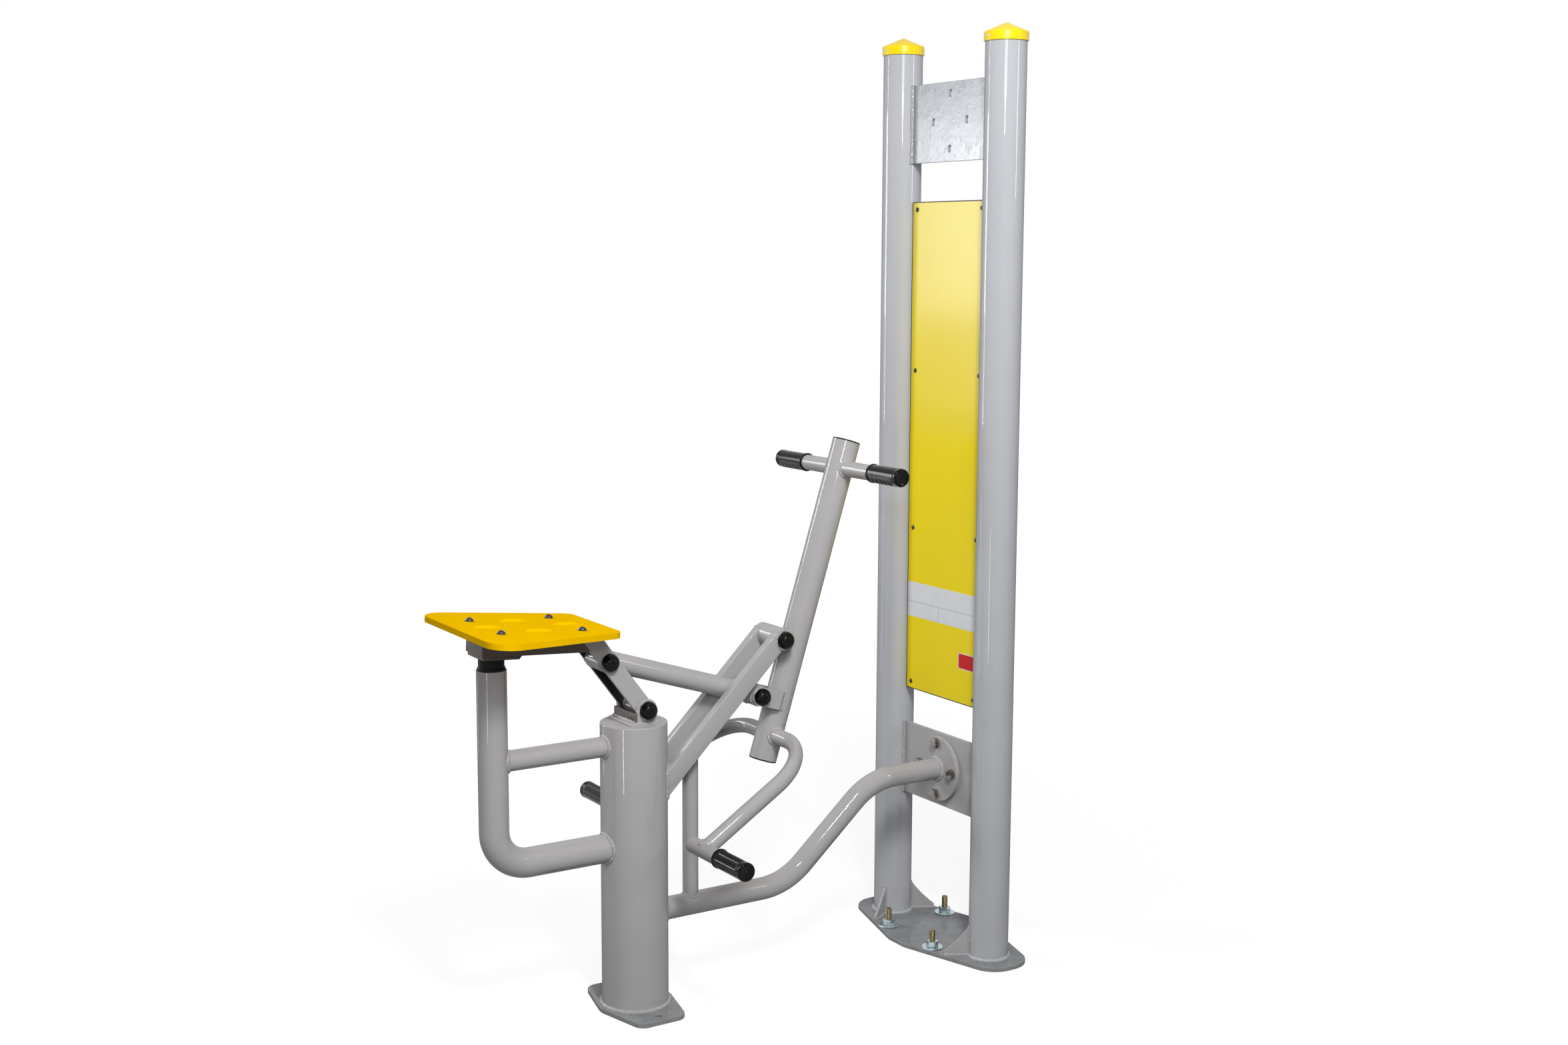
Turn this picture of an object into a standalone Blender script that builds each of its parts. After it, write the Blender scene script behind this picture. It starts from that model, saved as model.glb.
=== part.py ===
"""Outdoor horse rider machine: a seat on a rocking arm, a push rod and a pull lever beside a twin-post pylon.

Metres, +Z up. The origin is on the floor at the seat post's axis, +X runs from the seat to the pylon,
and +Y is the rider's left.
"""

import math

import bmesh
import bpy
from mathutils import Matrix, Quaternion, Vector

# Clearances and allowances
TOUCH = 0.0003  # gap between pieces that rest on, or are welded to, each other
TURN = 0.0003  # radial clearance of a pin in its hole
LOOP_PLAY = 0.0055  # radial clearance at the rod's front eye, where the linkage is opened
THROUGH_PLAY = 0.0006  # radial clearance of the bars that pass through the pole
SPIGOT_PLAY = 0.001  # radial clearance of a plug in its tube
OVERRUN = 0.010  # how far a cutter runs past what it cuts
MELT = 0.0005  # how deep two pieces of one weldment run into each other

# Pivots of the linkage, as (x, z) in the plane y = 0
SEAT_PIVOT = (0.0075, 0.6432)
ROD_PIVOT = (-0.0735, 0.7500)
LEVER_PIVOT = (0.3395, 0.7537)

# Axle, bush and dome cap, alike at all four pivots
AXLE_R = 0.008
BUSH_WALL = 0.0027
WASHER_R = 0.020
WASHER_T = 0.0025
CAP_R = 0.019
CAP_H = 0.019
CAP_EDGE = 0.003

# Seat post, its plates and the bracket on top
POST_R = 0.06985
POST_WALL = 0.004
POST_TOP = 0.612
FOOT_T = 0.010
FOOT_HALF_X = 0.083
FOOT_END_X = 0.0535
FOOT_END_Y = 0.1245
FOOT_SIDE_ROUND = 0.060
FOOT_END_ROUND = 0.025
FOOT_HOLE_R = 0.007
FOOT_HOLE_Y = 0.100
TOP_PLATE_T = 0.006
TOP_PLATE_EDGE = 0.0015
PAD_T = 0.006
PAD_HALF_X = 0.032
PAD_HALF_Y = 0.050
EAR_T = 0.006
EAR_SIDE_PLAY = 0.0015
EAR_ROUND = 0.023
WEB_BEHIND = 0.026
WEB_CLEAR = 0.002

# Rear tubes and the rubber bumper
BUMPER_TUBE_R = 0.03015
BUMPER_TUBE_WALL = 0.003
BUMPER_TUBE_X = -0.3146
BUMPER_TUBE_TOP = 0.756
BUMPER_LEG_Z = 0.352
BUMPER_BEND = 0.074
CROSS_TUBE_R = 0.0212
CROSS_TUBE_WALL = 0.0026
CROSS_TUBE_Z = 0.567
RUBBER_R = 0.026
RUBBER_RIM_T = 0.003
RUBBER_FLARE_H = 0.008
RUBBER_SPIGOT = 0.020

# Support arms, their end collars and the brace
ARM_TILT = math.radians(45)
ARM_TOP_X = 0.098
ARM_TOP_Z = 0.550
ARM_DEPTH = 0.040
ARM_WIDTH = 0.020
ARM_WALL = 0.002
ARM_INNER_Y = 0.0255
COLLAR_R = 0.02415
COLLAR_PROUD = 0.0003
COLLAR_BITE = 0.002
BRACE_R = 0.01685
BRACE_WALL = 0.0026
BRACE_X = 0.134
BRACE_PLATE_T = 0.006
BRACE_PLATE_L = 0.064

# Connecting tube and its flange
LINK_TUBE_R = 0.02415
LINK_TUBE_WALL = 0.0029
LINK_LOW_Z = 0.197
LINK_HIGH_Z = 0.3985
LINK_LOW_BEND_X = 0.372
LINK_HIGH_BEND_X = 0.601
LINK_BEND = 0.160
FLANGE_R = 0.0755
FLANGE_T = 0.010
BOLT_CIRCLE_R = 0.060
BOLT_R = 0.006
BOLT_HOLE_PLAY = 0.001
BOLT_FLATS = 0.019
BOLT_HEAD_H = 0.0075
BOLT_NUT_H = 0.010
BOLT_WASHER_R = 0.012
BOLT_WASHER_T = 0.0025
BOLT_TIP = 0.005

# Pylon
PYLON_X = 0.7984
PYLON_POST_Y = 0.1834
PYLON_POST_R = 0.04445
PYLON_POST_WALL = 0.0036
PYLON_POST_TOP = 2.030
PLINTH_T = 0.010
PLINTH_HALF_X = 0.122
PLINTH_SHOULDER_Y = 0.030
PLINTH_END_X = 0.054
PLINTH_END_Y = 0.269
PLINTH_SHOULDER_ROUND = 0.040
PLINTH_END_ROUND = 0.060
GUSSET_T = 0.006
GUSSET_REACH = 0.100
GUSSET_H = 0.065
GUSSET_TOE = 0.008
GUSSET_SAG = 0.002
GUSSET_ANGLE = math.radians(30)
POST_CAP_RIM_R = 0.04775
POST_CAP_LAP = 0.018
POST_CAP_RIM_H = 0.020
POST_CAP_APEX_H = 0.019
POST_CAP_WALL = 0.003
POST_CAP_TIP_R = 0.006
BRACKET_T = 0.008
BRACKET_X = 0.7975
LOWER_BRACKET_BELOW_FLANGE = 0.0875
LOWER_BRACKET_H = 0.170
UPPER_BRACKET_BELOW_TOP = 0.260
UPPER_BRACKET_H = 0.173
SLOT_CIRCLE_R = 0.060
SLOT_CENTRE_ABOVE_EDGE = 0.088
SLOT_R = 0.0055
SLOT_STRAIGHT = 0.005
BOARD_X = 0.795
BOARD_T = 0.003
BOARD_HALF_Y = 0.135
BOARD_BELOW_BRACKET = 0.085
BOARD_ABOVE_BRACKET = 0.082
BOARD_ROUND = 0.004
BOARD_SCREW_Y = 0.1165
BOARD_SCREW_MARGIN = 0.0175
TAB_T = 0.004
TAB_H = 0.026
TAB_PAST_SCREW = 0.010

# Ground anchors of the pylon
ANCHOR_X = 0.082
ANCHOR_Y = 0.0845
ANCHOR_R = 0.0072
ANCHOR_HOLE_PLAY = 0.001
ANCHOR_TOP = 0.052
ANCHOR_FLATS = 0.024
ANCHOR_NUT_H = 0.013
ANCHOR_WASHER_R = 0.024
ANCHOR_WASHER_T = 0.003

# Seat and the arm that carries it
SEAT_TILT = math.radians(3.5)
SEAT_MID = (-0.200, 0.834)  # (x, z) of a point on the seat's upper face
SEAT_T = 0.012
SEAT_BACK = 0.190
SEAT_FRONT = 0.117
SEAT_BACK_HALF = 0.203
SEAT_FRONT_HALF = 0.118
SEAT_BACK_ROUND = 0.045
SEAT_FRONT_ROUND = 0.028
SEAT_EDGE = 0.0025
FRAME_HALF_Y = 0.0405
FRAME_DEPTH = 0.040
FRAME_WALL = 0.003
FRAME_BACK = 0.148
STOP_T = 0.007
STOP_HALF_Y = 0.0375
STOP_BACK = 0.145
STOP_LENGTH = 0.083
STOP_CHAMFER = 0.005
LINK_BAR_R = 0.019
LINK_BAR_T = 0.008
LINK_BAR_OUTER_Y = 0.0385
PIVOT_TUBE_R = 0.0165

# Push rod
ROD_R = 0.0212
ROD_WALL = 0.0026
ROD_EYE_R = 0.0225
ROD_VENT_R = 0.004
ROD_VENT_FROM_EYE = 0.045

# Lever, measured along the pole from the foot of the pivot's perpendicular
POLE_LEAN = math.radians(17.345)
POLE_R = 0.03015
POLE_WALL = 0.003
POLE_ABOVE = 0.4509
POLE_BELOW = 0.2639
HUB_R = 0.02415
HUB_STANDS_OFF = 0.0006
HUB_WELD_H = 0.024
HUB_WELD_HALF_Y = 0.018
LUG_BELOW = 0.1288
LUG_BEHIND = 0.0699
LUG_T = 0.0085
LUG_HALF_W = 0.020
LUG_BITE = 0.00115
LUG_PAST_AXIS = 0.004
PLUG_T = 0.003
PLUG_SPIGOT = 0.015
PLUG_EDGE = 0.0008
HANDLE_ABOVE = 0.3893
HANDLE_R = 0.01685
HANDLE_WALL = 0.0026
HANDLE_HALF = 0.2315
FOOT_BAR_BELOW = 0.2053
FOOT_BAR_HALF = 0.1785
FOOT_BAR_BEND = 0.106
FOOT_BAR_FLAT_SHARE = 0.27
FOOT_BAR_SLOPE = math.radians(32.2)
FOOT_BAR_LEG = 0.315
FOOT_BAR_VENT_R = 0.004
PEG_INNER_Y = 0.1325
PEG_OUTER_Y = 0.345
PEG_BITE = 0.0015
PEG_SHORT = 0.003

# Grips of the hands and feet
GRIP_L = 0.106
GRIP_WALL = 0.0018
GRIP_RIM_PROUD = 0.0015
GRIP_RIM_T = 0.004
GRIP_END_T = 0.003
GRIP_EDGE = 0.002

# Sides of the round pieces, most on the widest
SIDES_WIDE = 28
SIDES_TUBE = 16
SIDES_BOW = 12
SIDES_PIN = 12
BEND_STEPS = 4
CORNER_STEPS = 4
DOME_STEPS = 3

PLANE_NORMAL = Vector((0, 1, 0))
UP = Vector((0, 0, 1))
FORWARD = Vector((1, 0, 0))


def in_plane(point, y=0.0):
    """The 3-D place of an (x, z) pair at a distance to the left of the middle plane."""
    return Vector((point[0], y, point[1]))


def along(point, direction, distance):
    """The (x, z) pair that lies a distance from another in a unit direction."""
    return (point[0] + direction[0] * distance, point[1] + direction[1] * distance)


def meet(start, direction, other, other_direction):
    """Where two lines of the middle plane cross."""
    det = other_direction[0] * direction[1] - direction[0] * other_direction[1]
    dx, dz = other[0] - start[0], other[1] - start[1]
    distance = (other_direction[0] * dz - other_direction[1] * dx) / det
    return along(start, direction, distance)


# Directions that several sub-parts share
SEAT_ALONG = (math.cos(SEAT_TILT), -math.sin(SEAT_TILT))
SEAT_UP = (math.sin(SEAT_TILT), math.cos(SEAT_TILT))
ARM_ALONG = (math.cos(ARM_TILT), math.sin(ARM_TILT))
ARM_DOWN = (math.sin(ARM_TILT), -math.cos(ARM_TILT))
POLE_ALONG = (math.sin(POLE_LEAN), math.cos(POLE_LEAN))
POLE_AHEAD = (math.cos(POLE_LEAN), -math.sin(POLE_LEAN))

# Places that follow from the driving sizes
BUSH_R = AXLE_R + TURN + BUSH_WALL
BORE_R = BUSH_R + TURN
LINK_BAR_INNER_Y = LINK_BAR_OUTER_Y - LINK_BAR_T
EAR_INNER_Y = LINK_BAR_OUTER_Y + EAR_SIDE_PLAY
EAR_OUTER_Y = EAR_INNER_Y + EAR_T
PAD_TOP = POST_TOP + PAD_T
COLLAR_INNER_Y = ARM_INNER_Y - COLLAR_PROUD
COLLAR_OUTER_Y = ARM_INNER_Y + ARM_WIDTH + COLLAR_PROUD
LUG_INNER_Y = POLE_R - LUG_BITE
LUG_OUTER_Y = LUG_INNER_Y + LUG_T
POLE_FOOT = along(LEVER_PIVOT, POLE_AHEAD, POLE_R + HUB_R + HUB_STANDS_OFF)
LOOP_PIVOT = along(along(POLE_FOOT, POLE_ALONG, -LUG_BELOW), POLE_AHEAD, -LUG_BEHIND)
HANDLE_AT = along(POLE_FOOT, POLE_ALONG, HANDLE_ABOVE)
FOOT_BAR_AT = along(POLE_FOOT, POLE_ALONG, -FOOT_BAR_BELOW)
FOOT_BAR_DOWN = (-math.cos(FOOT_BAR_SLOPE), -math.sin(FOOT_BAR_SLOPE))
PEG_AT = along(FOOT_BAR_AT, FOOT_BAR_DOWN, FOOT_BAR_LEG)
SEAT_UNDER = along(SEAT_MID, SEAT_UP, -SEAT_T - TOUCH)
FRAME_UNDER = along(SEAT_UNDER, SEAT_UP, -FRAME_DEPTH)
STOP_UNDER = along(FRAME_UNDER, SEAT_UP, -TOUCH - STOP_T)
BAR_LENGTH = math.hypot(ROD_PIVOT[0] - SEAT_PIVOT[0], ROD_PIVOT[1] - SEAT_PIVOT[1])
BAR_ALONG = ((ROD_PIVOT[0] - SEAT_PIVOT[0]) / BAR_LENGTH, (ROD_PIVOT[1] - SEAT_PIVOT[1]) / BAR_LENGTH)
BAR_AHEAD = (BAR_ALONG[1], -BAR_ALONG[0])
FLANGE_BACK = BRACKET_X - BRACKET_T / 2 - TOUCH
FLANGE_FRONT = FLANGE_BACK - FLANGE_T
GRIP_R = HANDLE_R + TOUCH + GRIP_WALL
LOWER_BRACKET_LOW = LINK_HIGH_Z - LOWER_BRACKET_BELOW_FLANGE
UPPER_BRACKET_LOW = PYLON_POST_TOP - UPPER_BRACKET_BELOW_TOP
SLOT_CENTRE_Z = UPPER_BRACKET_LOW + SLOT_CENTRE_ABOVE_EDGE
BOARD_TOP = UPPER_BRACKET_LOW - BOARD_BELOW_BRACKET
BOARD_LOW = LOWER_BRACKET_LOW + LOWER_BRACKET_H + BOARD_ABOVE_BRACKET


def srgb(red, green, blue):
    """The linear colour of three sRGB levels from 0 to 255."""
    levels = [level / 255 for level in (red, green, blue)]
    linear = [c / 12.92 if c <= 0.04045 else ((c + 0.055) / 1.055) ** 2.4 for c in levels]
    return (*linear, 1.0)


def material(name, colour, roughness, metallic=0.0):
    made = bpy.data.materials.new(name)
    made.use_nodes = True
    shader = made.node_tree.nodes["Principled BSDF"]
    shader.inputs["Base Color"].default_value = colour
    shader.inputs["Roughness"].default_value = roughness
    shader.inputs["Metallic"].default_value = metallic
    return made


def add_object(name, bm):
    """Links a new object that holds the mesh, with its faces turned outwards."""
    bmesh.ops.recalc_face_normals(bm, faces=bm.faces)
    mesh = bpy.data.meshes.new(name)
    bm.to_mesh(mesh)
    bm.free()
    obj = bpy.data.objects.new(name, mesh)
    bpy.context.scene.collection.objects.link(obj)
    return obj


def piece(name, bm, look, axis=None):
    """A sub-part in its material. One that moves hangs from the empty on its joint's axis."""
    obj = add_object(name, bm)
    obj.data.materials.append(look)
    obj.data.shade_smooth()
    obj.data.set_sharp_from_angle(angle=math.radians(35))
    if axis:
        obj.data.transform(Matrix.Translation(-axis.location))
        obj.parent = axis
    return obj


def helper(name, bm):
    """A cutter or a lump that a Boolean reads, left out of the render."""
    obj = add_object(name, bm)
    obj.hide_render = True
    obj.display_type = "WIRE"
    return obj


def combine(obj, other, operation):
    modifier = obj.modifiers.new(other.name, "BOOLEAN")
    modifier.operation = operation
    modifier.solver = "EXACT"
    modifier.object = other
    return obj


def cut(obj, other):
    return combine(obj, other, "DIFFERENCE")


def weld(obj, other):
    return combine(obj, other, "UNION")


def joint_axis(name, point):
    """The empty on a joint's axis that its moving pieces hang from."""
    empty = bpy.data.objects.new(name, None)
    empty.location = in_plane(point)
    bpy.context.scene.collection.objects.link(empty)
    return empty


def skin(bm, ring, following):
    """Faces between two rings of one count, or between a ring and a single point."""
    count = max(len(ring), len(following))
    for k in range(count):
        corners = [ring[k % len(ring)], ring[(k + 1) % len(ring)]]
        corners += [following[(k + 1) % len(following)], following[k % len(following)]]
        bm.faces.new(dict.fromkeys(corners))


def loft(bm, rings, bore_rings=()):
    """A closed body through the rings, hollow from end to end when it has bore rings."""
    for first, second in zip(rings, rings[1:]):
        skin(bm, first, second)
    for first, second in zip(bore_rings, bore_rings[1:]):
        skin(bm, first, second)
    for end in (0, -1):
        if bore_rings:
            skin(bm, rings[end], bore_rings[end])
        else:
            bm.faces.new(rings[end])


def circle(bm, centre, direction, across, radius, sides):
    """A ring of points round a centre, square to a direction."""
    over = across.cross(direction).normalized()
    angles = [2 * math.pi * k / sides for k in range(sides)]
    return [bm.verts.new(centre + radius * (math.cos(a) * over + math.sin(a) * across)) for a in angles]


def directions(route):
    """The direction of a route at each of its points."""
    runs = [(b - a).normalized() for a, b in zip(route, route[1:])]
    return [runs[0]] + [(a + b).normalized() for a, b in zip(runs, runs[1:])] + [runs[-1]]


def flatten(route, rings, share):
    """Presses the outer side of every bend in by a share, as a tube bender does."""
    for k, ring in enumerate(rings[1:-1], 1):
        turn = (route[k + 1] - route[k]).normalized() - (route[k] - route[k - 1]).normalized()
        outward = -turn.normalized()
        press = share * math.sin(math.pi * ((k - 1) % (BEND_STEPS + 1)) / BEND_STEPS)
        for vert in ring:
            reach = (vert.co - route[k]).dot(outward)
            vert.co -= outward * max(reach, 0) * press


def tube(route, across, radius, wall=0.0, sides=SIDES_TUBE, flat_share=0.0):
    """A round tube, or a bar when it has no wall, along a route that lies square to one direction."""
    bm = bmesh.new()
    stations = list(zip(route, directions(route)))
    rings = [circle(bm, at, way, across, radius, sides) for at, way in stations]
    bores = [circle(bm, at, way, across, radius - wall, sides) for at, way in stations] if wall else []
    for each in (rings, bores) if flat_share else ():
        flatten(route, each, flat_share)
    loft(bm, rings, bores)
    return bm


def arc(corner, back, ahead, radius, steps):
    """The points that round one corner to a radius, from its two unit directions."""
    half = back.angle(ahead) / 2
    centre = corner + (back + ahead).normalized() * radius / math.sin(half)
    start = corner + back * radius / math.tan(half) - centre
    end = corner + ahead * radius / math.tan(half) - centre
    turn = start.angle(end)
    axis = start.cross(end)
    return [centre + Quaternion(axis, turn * k / steps) @ start for k in range(steps + 1)]


def bent(corners, radius, steps=BEND_STEPS):
    """A route through corners, each inner one rounded to the bend radius."""
    route = [corners[0]]
    for before, corner, after in zip(corners, corners[1:], corners[2:]):
        route += arc(corner, (before - corner).normalized(), (after - corner).normalized(), radius, steps)
    return route + [corners[-1]]


def rounded(corners, radii, steps=CORNER_STEPS):
    """A closed outline through corners, each rounded to its radius."""
    outline = []
    for k, corner in enumerate(corners):
        back = (corners[k - 1] - corner).normalized()
        ahead = (corners[(k + 1) % len(corners)] - corner).normalized()
        outline += arc(corner, back, ahead, radii[k], steps) if radii[k] else [corner]
    return outline


def prism(bm, outline, sweep):
    """A flat outline drawn out along a vector."""
    low = [bm.verts.new(point) for point in outline]
    high = [bm.verts.new(point + sweep) for point in outline]
    loft(bm, [low, high])
    return bm


def slab(outline, low_y, high_y):
    """A plate square to Y, from an outline of (x, z) pairs."""
    return prism(bmesh.new(), [in_plane(p, low_y) for p in outline], PLANE_NORMAL * (high_y - low_y))


def turned(profile, base, axis, sides, ring=False):
    """A body turned from (radius, height) pairs. A ring's profile closes on itself, off the axis."""
    bm = bmesh.new()
    across = axis.orthogonal().normalized()
    rings = []
    for radius, height in profile:
        centre = base + axis * height
        point = [bm.verts.new(centre)]
        rings.append(circle(bm, centre, axis, across, radius, sides) if radius else point)
        if radius:
            bm.verts.remove(point[0])
    for first, second in zip(rings, rings[1:] + rings[:1] if ring else rings[1:]):
        skin(bm, first, second)
    return bm


def pipe(centre, axis, low, high, radius, bore, sides):
    """A straight sleeve along an axis, from one distance to another."""
    profile = [(bore, low), (radius, low), (radius, high), (bore, high)]
    return turned(profile, centre, axis, sides, ring=True)


def pin(centre, axis, low, high, radius, sides=SIDES_PIN):
    """A plain cylinder along an axis, also the usual cutter of a hole."""
    profile = [(0, low), (radius, low), (radius, high), (0, high)]
    return turned(profile, centre, axis, sides)


def pins(centres, axis, low, high, radius, sides=SIDES_PIN):
    """Several alike cylinders in one mesh, as the cutter of a hole pattern."""
    together = bmesh.new()
    for centre in centres:
        single = pin(centre, axis, low, high, radius, sides)
        mesh = bpy.data.meshes.new("hole")
        single.to_mesh(mesh)
        single.free()
        together.from_mesh(mesh)
        bpy.data.meshes.remove(mesh)
    return together


def clear_scene():
    for obj in list(bpy.data.objects):
        bpy.data.objects.remove(obj, do_unlink=True)


def post_envelope():
    """What the tubes that are welded to the seat post are cut back by."""
    return helper("post_envelope", pin(Vector((0, 0, 0)), UP, 0, POST_TOP, POST_R + TOUCH, SIDES_WIDE * 2))


def base_plate(grey):
    corners = [(FOOT_HALF_X, 0), (FOOT_END_X, FOOT_END_Y), (-FOOT_END_X, FOOT_END_Y)]
    corners += [(-x, -y) for x, y in corners]
    radii = [FOOT_SIDE_ROUND, FOOT_END_ROUND, FOOT_END_ROUND] * 2
    outline = rounded([Vector((x, y, 0)) for x, y in corners], radii)
    plate = piece("post_base_plate", prism(bmesh.new(), outline, UP * FOOT_T), grey)
    centres = [Vector((0, side * FOOT_HOLE_Y, 0)) for side in (1, -1)]
    holes = pins(centres, UP, -OVERRUN, FOOT_T + OVERRUN, FOOT_HOLE_R)
    return cut(plate, helper("post_anchor_holes", holes))


def seat_post(grey):
    low, high = FOOT_T + TOUCH, POST_TOP - TOP_PLATE_T - TOUCH
    floor = Vector((0, 0, 0))
    piece("main_post", pipe(floor, UP, low, high, POST_R, POST_R - POST_WALL, SIDES_WIDE), grey)
    under = POST_TOP - TOP_PLATE_T
    profile = [(0, under), (POST_R, under), (POST_R, POST_TOP - TOP_PLATE_EDGE)]
    profile += [(POST_R - TOP_PLATE_EDGE, POST_TOP), (0, POST_TOP)]
    plate = piece("post_top_plate", turned(profile, floor, UP, SIDES_WIDE), grey)
    corners = ((1, 1), (-1, 1), (-1, -1), (1, -1))
    outline = [Vector((x * PAD_HALF_X, y * PAD_HALF_Y, POST_TOP - MELT)) for x, y in corners]
    weld(plate, helper("bracket_pad", prism(bmesh.new(), outline, UP * (PAD_T + MELT))))


def pivot_bracket(grey):
    """Two ears and the web behind them. The web stops short of the link bars' rear edge."""
    low = PAD_TOP + TOUCH
    x, z = SEAT_PIVOT
    arch = [math.pi * k / CORNER_STEPS / 2 for k in range(2 * CORNER_STEPS + 1)]
    ear = [(x + EAR_ROUND * math.cos(a), z + EAR_ROUND * math.sin(a)) for a in arch]
    ear += [(x - EAR_ROUND, low), (x + EAR_ROUND, low)]
    bracket = piece("seat_pivot_bracket", slab(ear, EAR_INNER_Y, EAR_OUTER_Y), grey)
    weld(bracket, helper("right_ear", slab(ear, -EAR_OUTER_Y, -EAR_INNER_Y)))
    web_front = x - EAR_ROUND + MELT
    web_back = x - WEB_BEHIND - EAR_T / 2
    rear_edge = along(SEAT_PIVOT, BAR_AHEAD, -LINK_BAR_R - WEB_CLEAR)
    web_top = meet(rear_edge, BAR_ALONG, (web_front, low), (0, 1))[1]
    web = [(web_back, low), (web_front, low), (web_front, web_top), (web_back, web_top)]
    weld(bracket, helper("bracket_web", slab(web, MELT - EAR_OUTER_Y, EAR_OUTER_Y - MELT)))
    reach = EAR_OUTER_Y + OVERRUN
    hole = pin(in_plane(SEAT_PIVOT), PLANE_NORMAL, -reach, reach, AXLE_R + TURN)
    return cut(bracket, helper("bracket_hole", hole))


def rear_tubes(grey, envelope):
    top = Vector((BUMPER_TUBE_X, 0, BUMPER_TUBE_TOP))
    corner = Vector((BUMPER_TUBE_X, 0, BUMPER_LEG_Z))
    route = bent([top, corner, Vector((0, 0, BUMPER_LEG_Z))], BUMPER_BEND)
    bumper_tube = tube(route, PLANE_NORMAL, BUMPER_TUBE_R, BUMPER_TUBE_WALL)
    cut(piece("rear_bumper_tube", bumper_tube, grey), envelope)
    run = [Vector((BUMPER_TUBE_X, 0, CROSS_TUBE_Z)), Vector((0, 0, CROSS_TUBE_Z))]
    cross = piece("rear_cross_tube", tube(run, PLANE_NORMAL, CROSS_TUBE_R, CROSS_TUBE_WALL), grey)
    cut(cross, envelope)
    around = pin(corner, UP, 0, BUMPER_TUBE_TOP - BUMPER_LEG_Z, BUMPER_TUBE_R + TOUCH, SIDES_WIDE)
    cut(cross, helper("bumper_tube_envelope", around))


def rubber_bumper(rubber):
    """A buffer plugged into the tube. Its top is cut parallel to the stop plate that rests on it."""
    rim = BUMPER_TUBE_TOP + TOUCH
    spigot_r = BUMPER_TUBE_R - BUMPER_TUBE_WALL - SPIGOT_PLAY
    profile = [(0, rim - RUBBER_SPIGOT), (spigot_r, rim - RUBBER_SPIGOT), (spigot_r, rim)]
    profile += [(BUMPER_TUBE_R, rim), (BUMPER_TUBE_R, rim + RUBBER_RIM_T), (RUBBER_R, rim + RUBBER_FLARE_H)]
    profile += [(RUBBER_R, STOP_UNDER[1]), (0, STOP_UNDER[1])]
    bm = turned(profile, Vector((BUMPER_TUBE_X, 0, 0)), UP, SIDES_TUBE)
    for vert in bm.verts:
        if vert.co.z > rim + RUBBER_FLARE_H + MELT:
            rest = meet(STOP_UNDER, SEAT_ALONG, (vert.co.x, 0), (0, 1))
            vert.co.z = rest[1] - TOUCH
    return piece("rubber_bumper", bm, rubber)


def arm_line(depth):
    """The (x, z) pair on the arms' slope where it passes the post's axis, at a depth below the upper face."""
    top = along((ARM_TOP_X, ARM_TOP_Z), ARM_ALONG, -ARM_TOP_X / ARM_ALONG[0])
    return along(top, ARM_DOWN, depth)


def support_arm(side, name, grey, envelope):
    """A rectangular tube from the post up to a collar on the lever's axle."""
    start = arm_line(ARM_DEPTH / 2)
    reach = (LEVER_PIVOT[0] - start[0]) * ARM_ALONG[0] + (LEVER_PIVOT[1] - start[1]) * ARM_ALONG[1]
    middle_y = side * (ARM_INNER_Y + ARM_WIDTH / 2)
    bm = bmesh.new()

    def corners(distance, inset):
        half, depth = ARM_WIDTH / 2 - inset, ARM_DEPTH / 2 - inset
        ring = []
        for across, down in ((1, 1), (1, -1), (-1, -1), (-1, 1)):
            at = along(along(start, ARM_ALONG, distance), ARM_DOWN, down * depth)
            ring.append(bm.verts.new(in_plane(at, middle_y + across * half)))
        return ring

    loft(bm, [corners(0, 0), corners(reach, 0)], [corners(0, ARM_WALL), corners(reach, ARM_WALL)])
    arm = cut(piece(name, bm, grey), envelope)
    low, high = sorted((side * COLLAR_INNER_Y, side * COLLAR_OUTER_Y))
    axis_point = in_plane(LEVER_PIVOT)
    core = pin(axis_point, PLANE_NORMAL, low - OVERRUN, high + OVERRUN, COLLAR_R - COLLAR_BITE, SIDES_TUBE)
    cut(arm, helper(name + "_cope", core))
    collar = pipe(axis_point, PLANE_NORMAL, low, high, COLLAR_R, AXLE_R + TURN, SIDES_TUBE)
    return weld(arm, helper(name + "_collar", collar))


def arm_brace(grey):
    """An upright from the connecting tube to the plate that closes the gap between the arms."""
    plate_top = arm_line(ARM_DEPTH - BRACE_PLATE_T)
    plate_mid = arm_line(ARM_DEPTH - BRACE_PLATE_T / 2)
    run = [Vector((BRACE_X, 0, LINK_LOW_Z)), Vector((BRACE_X, 0, ARM_TOP_Z))]
    bm = tube(run, PLANE_NORMAL, BRACE_R, BRACE_WALL)
    for vert in bm.verts:
        if vert.co.z > (LINK_LOW_Z + ARM_TOP_Z) / 2:
            vert.co.z = meet(plate_mid, ARM_ALONG, (vert.co.x, 0), (0, 1))[1]
    brace = piece("arm_brace", bm, grey)
    centre = meet(plate_top, ARM_ALONG, (BRACE_X, 0), (0, 1))
    ends = [along(centre, ARM_ALONG, half * BRACE_PLATE_L / 2) for half in (-1, 1)]
    outline = ends + [along(end, ARM_DOWN, BRACE_PLATE_T) for end in reversed(ends)]
    half_y = ARM_INNER_Y - TOUCH
    weld(brace, helper("brace_plate", slab(outline, -half_y, half_y)))
    below = Vector((0, 0, LINK_LOW_Z))
    around = pin(below, FORWARD, 0, LINK_LOW_BEND_X - POST_R, LINK_TUBE_R + TOUCH, SIDES_WIDE)
    return cut(brace, helper("link_tube_envelope", around))


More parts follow.
